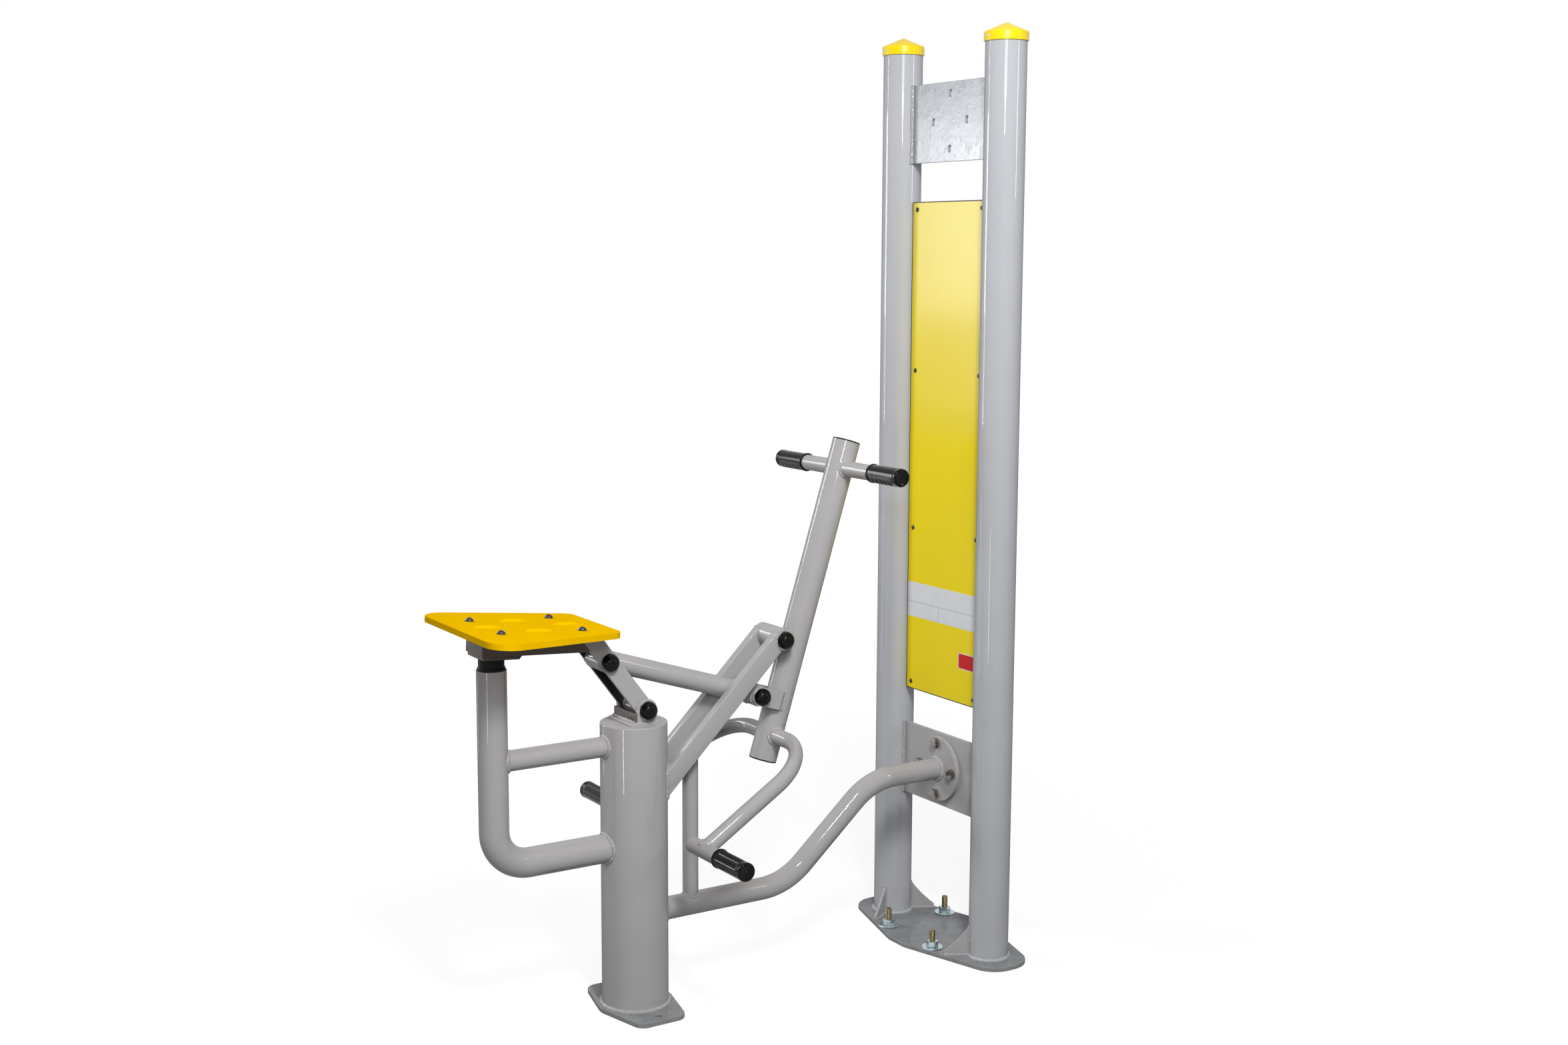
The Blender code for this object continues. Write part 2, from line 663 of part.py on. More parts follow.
def connecting_tube(grey, envelope):
    corners = [(0, LINK_LOW_Z), (LINK_LOW_BEND_X, LINK_LOW_Z)]
    corners += [(LINK_HIGH_BEND_X, LINK_HIGH_Z), (FLANGE_FRONT - TOUCH, LINK_HIGH_Z)]
    route = bent([in_plane(corner) for corner in corners], LINK_BEND)
    return cut(piece("connecting_tube", tube(route, PLANE_NORMAL, LINK_TUBE_R, LINK_TUBE_WALL), grey), envelope)


def bolt_centres():
    """The flange's bolts: top, left, bottom and right of its centre."""
    turns = [math.pi / 2 * k for k in range(4)]
    offsets = [(BOLT_CIRCLE_R * math.sin(a), BOLT_CIRCLE_R * math.cos(a)) for a in turns]
    return [Vector((0, y, LINK_HIGH_Z + z)) for y, z in offsets]


def mounting_flange(grey):
    centre = Vector((0, 0, LINK_HIGH_Z))
    disc = pin(centre, FORWARD, FLANGE_FRONT, FLANGE_BACK, FLANGE_R, SIDES_WIDE)
    flange = piece("mounting_flange", disc, grey)
    low, high = FLANGE_FRONT - OVERRUN, BRACKET_X + BRACKET_T + OVERRUN
    holes = helper("flange_bolt_holes", pins(bolt_centres(), FORWARD, low, high, BOLT_R + BOLT_HOLE_PLAY))
    cut(flange, holes)
    return holes


def hexagon(centre, axis, flats, low, high):
    """A hexagonal prism across its flats, along an axis."""
    return pin(centre, axis, low, high, flats / math.sqrt(3), 6)


def flange_bolts(steel):
    """Bolt, washers and nut as one piece each, through the flange and the lower bracket plate."""
    front = FLANGE_FRONT - TOUCH
    back = BRACKET_X + BRACKET_T / 2 + TOUCH
    head = front - BOLT_WASHER_T
    nut = back + BOLT_WASHER_T
    tip = nut + BOLT_NUT_H + BOLT_TIP
    profile = [(0, head), (BOLT_WASHER_R, head), (BOLT_WASHER_R, front), (BOLT_R, front), (BOLT_R, back)]
    profile += [(BOLT_WASHER_R, back), (BOLT_WASHER_R, nut), (BOLT_R, nut), (BOLT_R, tip), (0, tip)]
    for k, centre in enumerate(bolt_centres()):
        name = f"flange_bolt_{k + 1}"
        bolt = piece(name, turned(profile, centre, FORWARD, SIDES_PIN), steel)
        head_block = hexagon(centre, FORWARD, BOLT_FLATS, head - BOLT_HEAD_H, head + MELT)
        nut_block = hexagon(centre, FORWARD, BOLT_FLATS, nut - MELT, nut + BOLT_NUT_H)
        weld(bolt, helper(name + "_head", head_block))
        weld(bolt, helper(name + "_nut", nut_block))


def pylon_base_plate(grey):
    corners = [(PLINTH_HALF_X, PLINTH_SHOULDER_Y), (PLINTH_END_X, PLINTH_END_Y)]
    corners += [(-x, y) for x, y in reversed(corners)]
    corners += [(-x, -y) for x, y in corners]
    radii = [PLINTH_SHOULDER_ROUND, PLINTH_END_ROUND, PLINTH_END_ROUND, PLINTH_SHOULDER_ROUND] * 2
    outline = rounded([Vector((PYLON_X + x, y, 0)) for x, y in corners], radii)
    plate = piece("pylon_base_plate", prism(bmesh.new(), outline, UP * PLINTH_T), grey)
    holes = pins(anchor_centres(), UP, -OVERRUN, PLINTH_T + OVERRUN, ANCHOR_R + ANCHOR_HOLE_PLAY)
    return cut(plate, helper("pylon_anchor_holes", holes))


def anchor_centres():
    return [Vector((PYLON_X + x * ANCHOR_X, y * ANCHOR_Y, 0)) for x in (-1, 1) for y in (1, -1)]


def anchor_studs(zinc):
    """Stud, nut and washer as one piece each. The stud ends in the plate, on the floor."""
    low = PLINTH_T + TOUCH
    top = low + ANCHOR_WASHER_T
    profile = [(0, TOUCH), (ANCHOR_R, TOUCH), (ANCHOR_R, low), (ANCHOR_WASHER_R, low)]
    profile += [(ANCHOR_WASHER_R, top), (ANCHOR_R, top), (ANCHOR_R, ANCHOR_TOP), (0, ANCHOR_TOP)]
    for k, centre in enumerate(anchor_centres()):
        name = f"anchor_stud_{k + 1}"
        stud = piece(name, turned(profile, centre, UP, SIDES_PIN), zinc)
        nut = hexagon(centre, UP, ANCHOR_FLATS, top - MELT, top + ANCHOR_NUT_H)
        weld(stud, helper(name + "_nut", nut))


def screw_heights():
    """The heights of the board's four rows of screws."""
    low, high = BOARD_LOW + BOARD_SCREW_MARGIN, BOARD_TOP - BOARD_SCREW_MARGIN
    return [low + (high - low) * k / 3 for k in range(4)]


def gussets(bm, side):
    """Two plates that brace a pylon post on its base plate, with slightly hollow outer edges."""
    low = PLINTH_T + TOUCH
    root = PYLON_POST_R - PYLON_POST_WALL / 2
    slope = [(GUSSET_REACH, low), (GUSSET_REACH, low + GUSSET_TOE)]
    for share in [k / CORNER_STEPS for k in range(1, CORNER_STEPS)]:
        out = GUSSET_REACH + (PYLON_POST_R - GUSSET_REACH) * share
        up = low + GUSSET_TOE + (GUSSET_H - GUSSET_TOE) * share
        sag = GUSSET_SAG * math.sin(math.pi * share)
        slope.append((out - sag, up - sag))
    slope += [(PYLON_POST_R, low + GUSSET_H), (root, low + GUSSET_H), (root, low)]
    for ahead in (1, -1):
        outward = Vector((ahead * math.cos(GUSSET_ANGLE), -side * math.sin(GUSSET_ANGLE), 0))
        across = UP.cross(outward)
        corner = Vector((PYLON_X, side * PYLON_POST_Y, 0)) - across * GUSSET_T / 2
        prism(bm, [corner + outward * out + UP * up for out, up in slope], across * GUSSET_T)


def board_tabs(bm, side):
    """Small plates on a pylon post that the board's screws go into."""
    front = BOARD_X + BOARD_T + TOUCH
    inner = BOARD_SCREW_Y - TAB_PAST_SCREW
    outer = PYLON_POST_Y - PYLON_POST_R + PYLON_POST_WALL / 2
    for height in screw_heights():
        low = height - TAB_H / 2
        outline = [Vector((front, side * y, z)) for y, z in ((inner, low), (outer, low))]
        outline += [point + UP * TAB_H for point in reversed(outline)]
        prism(bm, outline, FORWARD * TAB_T)


def pylon_post(side, name, grey):
    foot = Vector((PYLON_X, side * PYLON_POST_Y, 0))
    low = PLINTH_T + TOUCH
    bore = PYLON_POST_R - PYLON_POST_WALL
    post = piece(name, pipe(foot, UP, low, PYLON_POST_TOP, PYLON_POST_R, bore, SIDES_WIDE), grey)
    plates = bmesh.new()
    gussets(plates, side)
    board_tabs(plates, side)
    return weld(post, helper(name + "_plates", plates))


def post_cap(side, name, yellow):
    """A moulded cap over a post's end: an upright rim and a low cone."""
    rim_low = PYLON_POST_TOP - POST_CAP_LAP
    rim_top = rim_low + POST_CAP_RIM_H
    apex = rim_top + POST_CAP_APEX_H
    inside = PYLON_POST_R + TOUCH
    ceiling = PYLON_POST_TOP + TOUCH
    profile = [(0, apex), (POST_CAP_TIP_R, apex - MELT), (POST_CAP_RIM_R, rim_top)]
    profile += [(POST_CAP_RIM_R, rim_low), (inside, rim_low), (inside, ceiling)]
    profile += [(inside - POST_CAP_WALL, ceiling), (0, apex - POST_CAP_WALL)]
    centre = Vector((PYLON_X, side * PYLON_POST_Y, 0))
    return piece(name, turned(profile, centre, UP, SIDES_WIDE), yellow)


def bracket_plate(name, low, height, look):
    """A plate between the pylon posts, up to their sides."""
    half = PYLON_POST_Y - PYLON_POST_R - TOUCH
    front = BRACKET_X - BRACKET_T / 2
    outline = [Vector((front, y * half, z)) for y, z in ((-1, low), (1, low))]
    outline += [point + UP * height for point in reversed(outline)]
    return piece(name, prism(bmesh.new(), outline, FORWARD * BRACKET_T), look)


def slots():
    """Four upright slots on a circle, as one cutter."""
    bm = bmesh.new()
    front = BRACKET_X - BRACKET_T / 2 - OVERRUN
    turns = [math.pi / 2 * k for k in range(4)]
    steps = [math.pi * k / CORNER_STEPS for k in range(CORNER_STEPS + 1)]
    for turn in turns:
        y = SLOT_CIRCLE_R * math.sin(turn)
        z = SLOT_CENTRE_Z + SLOT_CIRCLE_R * math.cos(turn)
        upper = [(y + SLOT_R * math.cos(a), z + SLOT_STRAIGHT / 2 + SLOT_R * math.sin(a)) for a in steps]
        lower = [(y - SLOT_R * math.cos(a), z - SLOT_STRAIGHT / 2 - SLOT_R * math.sin(a)) for a in steps]
        outline = [Vector((front, across, up)) for across, up in upper + lower]
        prism(bm, outline, FORWARD * (BRACKET_T + 2 * OVERRUN))
    return helper("bracket_slots", bm)


def instruction_board(yellow):
    corners = [(-BOARD_HALF_Y, BOARD_LOW), (BOARD_HALF_Y, BOARD_LOW)]
    corners += [(BOARD_HALF_Y, BOARD_TOP), (-BOARD_HALF_Y, BOARD_TOP)]
    outline = rounded([Vector((BOARD_X, y, z)) for y, z in corners], [BOARD_ROUND] * 4)
    return piece("instruction_board", prism(bmesh.new(), outline, FORWARD * BOARD_T), yellow)


def seat_point(ahead, below):
    """The (x, z) pair at a distance ahead of the seat's middle and below its upper face."""
    return along(along(SEAT_MID, SEAT_ALONG, ahead), SEAT_UP, -below)


def seat_board(yellow, axis):
    corners = [(-SEAT_BACK, SEAT_BACK_HALF), (SEAT_FRONT, SEAT_FRONT_HALF)]
    corners += [(ahead, -half) for ahead, half in reversed(corners)]
    radii = [SEAT_BACK_ROUND, SEAT_FRONT_ROUND, SEAT_FRONT_ROUND, SEAT_BACK_ROUND]
    outline = rounded([in_plane(seat_point(ahead, SEAT_T), y) for ahead, y in corners], radii)
    board = piece("seat_board", prism(bmesh.new(), outline, in_plane(SEAT_UP) * SEAT_T), yellow, axis)
    edge = board.modifiers.new("Rounded edge", "BEVEL")
    edge.width = SEAT_EDGE
    edge.segments = 2
    edge.limit_method = "ANGLE"
    edge.angle_limit = math.radians(60)
    return board


def seat_frame(grey, axis):
    """A box section under the seat, open where it meets the link bars."""
    upper, lower = SEAT_T + TOUCH, SEAT_T + TOUCH + FRAME_DEPTH
    end = along(SEAT_PIVOT, BAR_AHEAD, -LINK_BAR_R - TOUCH)
    front_top = meet(seat_point(0, upper), SEAT_ALONG, end, BAR_ALONG)
    front_low = meet(seat_point(0, lower), SEAT_ALONG, end, BAR_ALONG)
    outline = [seat_point(-FRAME_BACK, lower), front_low, front_top, seat_point(-FRAME_BACK, upper)]
    frame = piece("seat_frame", slab(outline, -FRAME_HALF_Y, FRAME_HALF_Y), grey, axis)
    back = FRAME_WALL - FRAME_BACK
    inner = [seat_point(back, lower - FRAME_WALL), along(front_low, SEAT_UP, FRAME_WALL)]
    inner.append(along(front_top, SEAT_UP, -FRAME_WALL))
    inner[1:] = [along(point, SEAT_ALONG, OVERRUN) for point in inner[1:]]
    inner.append(seat_point(back, upper + FRAME_WALL))
    half = FRAME_HALF_Y - FRAME_WALL
    return cut(frame, helper("seat_frame_inside", slab(inner, -half, half)))


def stop_plate(grey, axis):
    """The plate under the seat frame that comes down on the bumper."""
    upper = SEAT_T + TOUCH + FRAME_DEPTH + TOUCH
    lower = upper + STOP_T
    front = STOP_LENGTH - STOP_BACK
    outline = [seat_point(-STOP_BACK, upper), seat_point(-STOP_BACK, lower)]
    outline += [seat_point(front - STOP_CHAMFER, lower), seat_point(front, upper)]
    return piece("seat_stop_plate", slab(outline, -STOP_HALF_Y, STOP_HALF_Y), grey, axis)


def link_bar(side, name, grey, axis):
    """A flat bar from the seat pivot up past the rod's pivot to the underside of the seat."""
    start = math.atan2(BAR_AHEAD[1], BAR_AHEAD[0])
    steps = [start - math.pi * k / (2 * CORNER_STEPS) for k in range(2 * CORNER_STEPS + 1)]
    x, z = SEAT_PIVOT
    outline = [(x + LINK_BAR_R * math.cos(a), z + LINK_BAR_R * math.sin(a)) for a in steps]
    for edge in (-1, 1):
        foot = along(SEAT_PIVOT, BAR_AHEAD, edge * LINK_BAR_R)
        outline.append(meet(SEAT_UNDER, SEAT_ALONG, foot, BAR_ALONG))
    low, high = sorted((side * LINK_BAR_INNER_Y, side * LINK_BAR_OUTER_Y))
    bar = piece(name, slab(outline, low, high), grey, axis)
    centres = [in_plane(SEAT_PIVOT), in_plane(ROD_PIVOT)]
    holes = pins(centres, PLANE_NORMAL, low - OVERRUN, high + OVERRUN, AXLE_R + TURN)
    return cut(bar, helper(name + "_holes", holes))


def push_rod(grey, axis):
    """A tube with a cross sleeve at each end. The front sleeve's bore is wide, where the loop is opened."""
    rear, front = in_plane(ROD_PIVOT), in_plane(LOOP_PIVOT)
    way = (front - rear).normalized()
    length = (front - rear).length
    rod = piece("push_rod", tube([rear, front], PLANE_NORMAL, ROD_R), grey, axis)
    ends = ((rear, LINK_BAR_INNER_Y, BORE_R, "rear"), (front, LUG_INNER_Y, BUSH_R + LOOP_PLAY, "front"))
    for centre, beside, bore, end in ends:
        half = beside - TOUCH
        eye = pin(centre, PLANE_NORMAL, -half, half, ROD_EYE_R, SIDES_TUBE)
        weld(rod, helper(f"rod_{end}_eye", eye))
    inside = pin(rear, way, ROD_EYE_R, length - ROD_EYE_R, ROD_R - ROD_WALL, SIDES_TUBE)
    cut(rod, helper("rod_inside", inside))
    for centre, beside, bore, end in ends:
        reach = beside + OVERRUN
        cut(rod, helper(f"rod_{end}_bore", pin(centre, PLANE_NORMAL, -reach, reach, bore, SIDES_TUBE)))
    vent_at = front - way * ROD_VENT_FROM_EYE
    down = PLANE_NORMAL.cross(way)
    vent = pin(vent_at, down, 0, ROD_R + OVERRUN, ROD_VENT_R)
    return cut(rod, helper("rod_vent", vent))


def pole_point(above, ahead=0.0):
    """The (x, z) pair at a distance along the pole from the pivot's foot, and ahead of its axis."""
    return along(along(POLE_FOOT, POLE_ALONG, above), POLE_AHEAD, ahead)


def lever_pole(grey, axis):
    """The pole with the hub on its pivot and the two lugs that the push rod moves."""
    way = in_plane(POLE_ALONG)
    low, high = PLUG_T - POLE_BELOW, POLE_ABOVE - PLUG_T
    foot = in_plane(POLE_FOOT)
    hollow = pipe(foot, way, low, high, POLE_R, POLE_R - POLE_WALL, SIDES_TUBE)
    pole = piece("lever_pole", hollow, grey, axis)
    hub_half = COLLAR_INNER_Y - TOUCH
    pivot = in_plane(LEVER_PIVOT)
    weld(pole, helper("lever_hub", pin(pivot, PLANE_NORMAL, -hub_half, hub_half, HUB_R, SIDES_TUBE)))
    back, root = -POLE_R - HUB_R, POLE_WALL / 2 - POLE_R
    block = [pole_point(z * HUB_WELD_H / 2, x) for x, z in ((back, -1), (root, -1), (root, 1), (back, 1))]
    weld(pole, helper("hub_weld", slab(block, -HUB_WELD_HALF_Y, HUB_WELD_HALF_Y)))
    centre = math.atan2(-POLE_AHEAD[1], -POLE_AHEAD[0])
    steps = [centre + math.pi * (k / (2 * CORNER_STEPS) - 1 / 2) for k in range(2 * CORNER_STEPS + 1)]
    x, z = LOOP_PIVOT
    lug = [(x + LUG_HALF_W * math.cos(a), z + LUG_HALF_W * math.sin(a)) for a in steps]
    lug += [pole_point(-LUG_BELOW + end * LUG_HALF_W, LUG_PAST_AXIS) for end in (-1, 1)]
    weld(pole, helper("left_lug", slab(lug, LUG_INNER_Y, LUG_OUTER_Y)))
    weld(pole, helper("right_lug", slab(lug, -LUG_OUTER_Y, -LUG_INNER_Y)))
    across = POLE_R + OVERRUN + LUG_T
    for label, point, radius in (
        ("hub_bore", LEVER_PIVOT, BORE_R),
        ("lug_holes", LOOP_PIVOT, AXLE_R + TURN),
        ("handle_hole", HANDLE_AT, HANDLE_R + THROUGH_PLAY),
        ("foot_bar_hole", FOOT_BAR_AT, HANDLE_R + THROUGH_PLAY),
    ):
        cut(pole, helper(label, pin(in_plane(point), PLANE_NORMAL, -across, across, radius, SIDES_TUBE)))
    return pole


def pole_plug(name, end, outward, black, axis):
    """A thin plug in one end of the pole."""
    spigot_r = POLE_R - POLE_WALL - SPIGOT_PLAY
    face = PLUG_T - TOUCH
    profile = [(0, -PLUG_SPIGOT), (spigot_r, -PLUG_SPIGOT), (spigot_r, 0), (POLE_R, 0)]
    profile += [(POLE_R, face - PLUG_EDGE), (POLE_R - PLUG_EDGE, face), (0, face)]
    base = in_plane(along(end, outward, TOUCH - PLUG_T))
    return piece(name, turned(profile, base, in_plane(outward), SIDES_TUBE), black, axis)


def grip(name, centre, side, outer_end, black, axis):
    """A closed hand or foot grip over a tube's end, with a rim at its inner end."""
    inner = HANDLE_R + TOUCH
    rim = GRIP_R + GRIP_RIM_PROUD
    start, end = outer_end - GRIP_L, outer_end
    profile = [(0, end), (GRIP_R - GRIP_EDGE, end), (GRIP_R, end - GRIP_EDGE), (GRIP_R, start + GRIP_RIM_T)]
    profile += [(rim, start + GRIP_RIM_T), (rim, start), (inner, start)]
    profile += [(inner, end - GRIP_END_T), (0, end - GRIP_END_T)]
    outward = PLANE_NORMAL * side
    return piece(name, turned(profile, in_plane(centre), outward, SIDES_TUBE), black, axis)


def handlebar(grey, axis):
    half = HANDLE_HALF - GRIP_END_T - TOUCH
    bar = pipe(in_plane(HANDLE_AT), PLANE_NORMAL, -half, half, HANDLE_R, HANDLE_R - HANDLE_WALL, SIDES_TUBE)
    return piece("handlebar", bar, grey, axis)


def foot_bar(grey, axis):
    """A bow through the pole whose legs carry a cross peg each."""
    down = in_plane(FOOT_BAR_DOWN)
    across = in_plane((-FOOT_BAR_DOWN[1], FOOT_BAR_DOWN[0]))
    corners = [in_plane(FOOT_BAR_AT, side * FOOT_BAR_HALF) for side in (1, -1)]
    ends = [corner + down * (FOOT_BAR_LEG - PEG_SHORT) for corner in corners]
    route = bent([ends[0], *corners, ends[1]], FOOT_BAR_BEND)
    bow_tube = tube(route, across, HANDLE_R, HANDLE_WALL, SIDES_BOW, FOOT_BAR_FLAT_SHARE)
    bow = piece("foot_bar", bow_tube, grey, axis)
    tip = PEG_OUTER_Y - GRIP_END_T - TOUCH
    bore = HANDLE_R - HANDLE_WALL
    for side, label in ((1, "left"), (-1, "right")):
        way = PLANE_NORMAL * side
        centre = in_plane(PEG_AT)
        core = pin(centre, way, PEG_INNER_Y - OVERRUN, tip, HANDLE_R - PEG_BITE, SIDES_TUBE)
        cut(bow, helper(label + "_peg_cope", core))
        closed = PEG_INNER_Y + HANDLE_WALL
        profile = [(0, PEG_INNER_Y), (HANDLE_R, PEG_INNER_Y), (HANDLE_R, tip), (bore, tip), (bore, closed), (0, closed)]
        weld(bow, helper(label + "_peg", turned(profile, centre, way, SIDES_TUBE)))
    vent = pin(in_plane(FOOT_BAR_AT), UP, -HANDLE_R - OVERRUN, 0, FOOT_BAR_VENT_R)
    return cut(bow, helper("foot_bar_vent", vent))


def pivot_set(label, point, face_y, washers, steel, black, axis):
    """Axle with its washers, and a dome cap over each end."""
    tip = face_y + TOUCH + WASHER_T if washers else face_y
    profile = [(0, -tip), (AXLE_R, -tip), (AXLE_R, tip), (0, tip)]
    if washers:
        inner = face_y + TOUCH
        profile = [(0, -tip), (WASHER_R, -tip), (WASHER_R, -inner), (AXLE_R, -inner)]
        profile += [(radius, -height) for radius, height in reversed(profile)]
    centre = in_plane(point)
    piece(f"{label}_axle", turned(profile, centre, PLANE_NORMAL, SIDES_PIN), steel, axis)
    steps = [math.pi / 2 * k / DOME_STEPS for k in range(DOME_STEPS + 1)]
    low = tip + TOUCH
    dome = [(0, low), (CAP_R, low)]
    dome += [(CAP_R * math.cos(a), low + CAP_EDGE + (CAP_H - CAP_EDGE) * math.sin(a)) for a in steps[:-1]]
    dome.append((0, low + CAP_H))
    for side, name in ((1, "left"), (-1, "right")):
        cap = turned(dome, centre, PLANE_NORMAL * side, SIDES_PIN)
        piece(f"{label}_cap_{name}", cap, black, axis)


def bush(label, point, half, bronze, axis):
    sleeve = pipe(in_plane(point), PLANE_NORMAL, -half, half, BUSH_R, AXLE_R + TURN, SIDES_PIN)
    return piece(f"{label}_bush", sleeve, bronze, axis)


def pivot_tube(grey, axis):
    """The sleeve between the link bars that turns on the seat pivot's axle."""
    half = LINK_BAR_INNER_Y - TOUCH
    sleeve = pipe(in_plane(SEAT_PIVOT), PLANE_NORMAL, -half, half, PIVOT_TUBE_R, BORE_R, SIDES_TUBE)
    return piece("seat_pivot_tube", sleeve, grey, axis)


def build():
    clear_scene()
    grey = material("grey_powder_coat", srgb(160, 160, 162), 0.3)
    seat_yellow = material("yellow_seat_plastic", srgb(245, 190, 0), 0.45)
    cap_yellow = material("yellow_cap_plastic", srgb(250, 215, 0), 0.3)
    board_yellow = material("yellow_board_print", srgb(235, 212, 0), 0.25)
    black = material("black_plastic", srgb(22, 22, 24), 0.25)
    rubber = material("black_rubber", srgb(24, 24, 26), 0.7)
    galvanised = material("galvanised_steel", srgb(190, 194, 198), 0.35, 1.0)
    stainless = material("stainless_steel", srgb(175, 175, 175), 0.25, 1.0)
    zinc = material("zinc_plated_steel", srgb(176, 168, 130), 0.3, 1.0)
    bronze = material("bronze_bush", srgb(150, 118, 70), 0.4, 1.0)
    seat_arm = joint_axis("seat_arm_axis", SEAT_PIVOT)
    rod_axis = joint_axis("push_rod_axis", ROD_PIVOT)
    lever = joint_axis("lever_axis", LEVER_PIVOT)

    envelope = post_envelope()
    base_plate(grey)
    seat_post(grey)
    pivot_bracket(grey)
    rear_tubes(grey, envelope)
    rubber_bumper(rubber)
    support_arm(1, "left_support_arm", grey, envelope)
    support_arm(-1, "right_support_arm", grey, envelope)
    arm_brace(grey)
    connecting_tube(grey, envelope)
    bolt_holes = mounting_flange(grey)
    flange_bolts(stainless)

    pylon_base_plate(grey)
    anchor_studs(zinc)
    for side, name in ((1, "left"), (-1, "right")):
        pylon_post(side, f"{name}_pylon_post", grey)
        post_cap(side, f"{name}_post_cap", cap_yellow)
    cut(bracket_plate("lower_bracket_plate", LOWER_BRACKET_LOW, LOWER_BRACKET_H, grey), bolt_holes)
    cut(bracket_plate("upper_bracket_plate", UPPER_BRACKET_LOW, UPPER_BRACKET_H, galvanised), slots())
    instruction_board(board_yellow)

    seat_board(seat_yellow, seat_arm)
    seat_frame(grey, seat_arm)
    stop_plate(grey, seat_arm)
    link_bar(1, "left_link_bar", grey, seat_arm)
    link_bar(-1, "right_link_bar", grey, seat_arm)
    pivot_tube(grey, seat_arm)
    push_rod(grey, rod_axis)

    lever_pole(grey, lever)
    pole_plug("pole_top_plug", pole_point(POLE_ABOVE), POLE_ALONG, black, lever)
    down = (-POLE_ALONG[0], -POLE_ALONG[1])
    pole_plug("pole_bottom_plug", pole_point(-POLE_BELOW), down, black, lever)
    handlebar(grey, lever)
    foot_bar(grey, lever)
    for side, name in ((1, "left"), (-1, "right")):
        grip(f"{name}_hand_grip", HANDLE_AT, side, HANDLE_HALF, black, lever)
        grip(f"{name}_foot_grip", PEG_AT, side, PEG_OUTER_Y, black, lever)

    pivot_set("seat_pivot", SEAT_PIVOT, EAR_OUTER_Y, True, stainless, black, None)
    pivot_set("rod_rear", ROD_PIVOT, LINK_BAR_OUTER_Y, False, stainless, black, seat_arm)
    pivot_set("rod_front", LOOP_PIVOT, LUG_OUTER_Y, True, stainless, black, lever)
    pivot_set("lever_pivot", LEVER_PIVOT, COLLAR_OUTER_Y, True, stainless, black, None)
    bush("seat_pivot", SEAT_PIVOT, LINK_BAR_INNER_Y - TOUCH, bronze, seat_arm)
    bush("rod_rear", ROD_PIVOT, LINK_BAR_INNER_Y - TOUCH, bronze, rod_axis)
    bush("rod_front", LOOP_PIVOT, LUG_INNER_Y - TOUCH, bronze, lever)
    bush("lever_pivot", LEVER_PIVOT, COLLAR_INNER_Y - TOUCH, bronze, lever)


build()
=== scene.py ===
import math
import random

import bmesh
import bpy
from mathutils import Matrix, Quaternion, Vector

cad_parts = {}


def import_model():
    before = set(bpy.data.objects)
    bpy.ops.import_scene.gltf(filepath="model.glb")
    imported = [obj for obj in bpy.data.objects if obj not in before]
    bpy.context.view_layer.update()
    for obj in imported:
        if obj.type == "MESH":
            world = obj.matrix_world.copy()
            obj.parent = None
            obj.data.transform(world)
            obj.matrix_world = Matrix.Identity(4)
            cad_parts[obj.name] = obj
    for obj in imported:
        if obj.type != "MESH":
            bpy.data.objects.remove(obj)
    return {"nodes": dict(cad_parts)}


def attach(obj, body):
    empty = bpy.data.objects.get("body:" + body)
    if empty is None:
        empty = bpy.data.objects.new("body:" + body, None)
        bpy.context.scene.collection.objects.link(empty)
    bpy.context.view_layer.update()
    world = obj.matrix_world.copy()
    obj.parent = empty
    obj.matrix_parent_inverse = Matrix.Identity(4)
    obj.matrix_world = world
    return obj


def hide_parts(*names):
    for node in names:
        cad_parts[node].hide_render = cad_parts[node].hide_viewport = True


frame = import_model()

# Sizes shared with the CAD source, in metres
TOUCH = 0.0003
MELT = 0.0005
OVERRUN = 0.010
SEAT_PIVOT = (0.0075, 0.6432)
ROD_PIVOT = (-0.0735, 0.7500)
LEVER_PIVOT = (0.3395, 0.7537)
AXLE_R = 0.008
WASHER_R = 0.020
WASHER_T = 0.0025
CAP_R = 0.019
CAP_H = 0.019

POST_R = 0.06985
POST_TOP = 0.612
FOOT_T = 0.010
FOOT_HALF_X = 0.083
FOOT_END_X = 0.0535
FOOT_END_Y = 0.1245
FOOT_SIDE_ROUND = 0.060
FOOT_END_ROUND = 0.025
FOOT_HOLE_R = 0.007
FOOT_HOLE_Y = 0.100
PAD_T = 0.006
PAD_HALF_X = 0.032
PAD_HALF_Y = 0.050
EAR_T = 0.006
EAR_SIDE_PLAY = 0.0015
EAR_ROUND = 0.023
WEB_BEHIND = 0.026
WEB_CLEAR = 0.002

BUMPER_TUBE_R = 0.03015
BUMPER_TUBE_WALL = 0.003
BUMPER_TUBE_X = -0.3146
BUMPER_TUBE_TOP = 0.756
BUMPER_LEG_Z = 0.352
BUMPER_BEND = 0.074
CROSS_TUBE_R = 0.0212
CROSS_TUBE_Z = 0.567
RUBBER_R = 0.026
RUBBER_FLARE_R = 0.0288
RUBBER_FLARE_H = 0.008

ARM_TILT = math.radians(45)
ARM_TOP_X = 0.098
ARM_TOP_Z = 0.550
ARM_DEPTH = 0.040
ARM_WIDTH = 0.020
ARM_ROUND = 0.003
ARM_INNER_Y = 0.0255
COLLAR_R = 0.02415
COLLAR_PROUD = 0.0003
BRACE_R = 0.01685
BRACE_X = 0.134
BRACE_PLATE_T = 0.006
BRACE_PLATE_L = 0.064

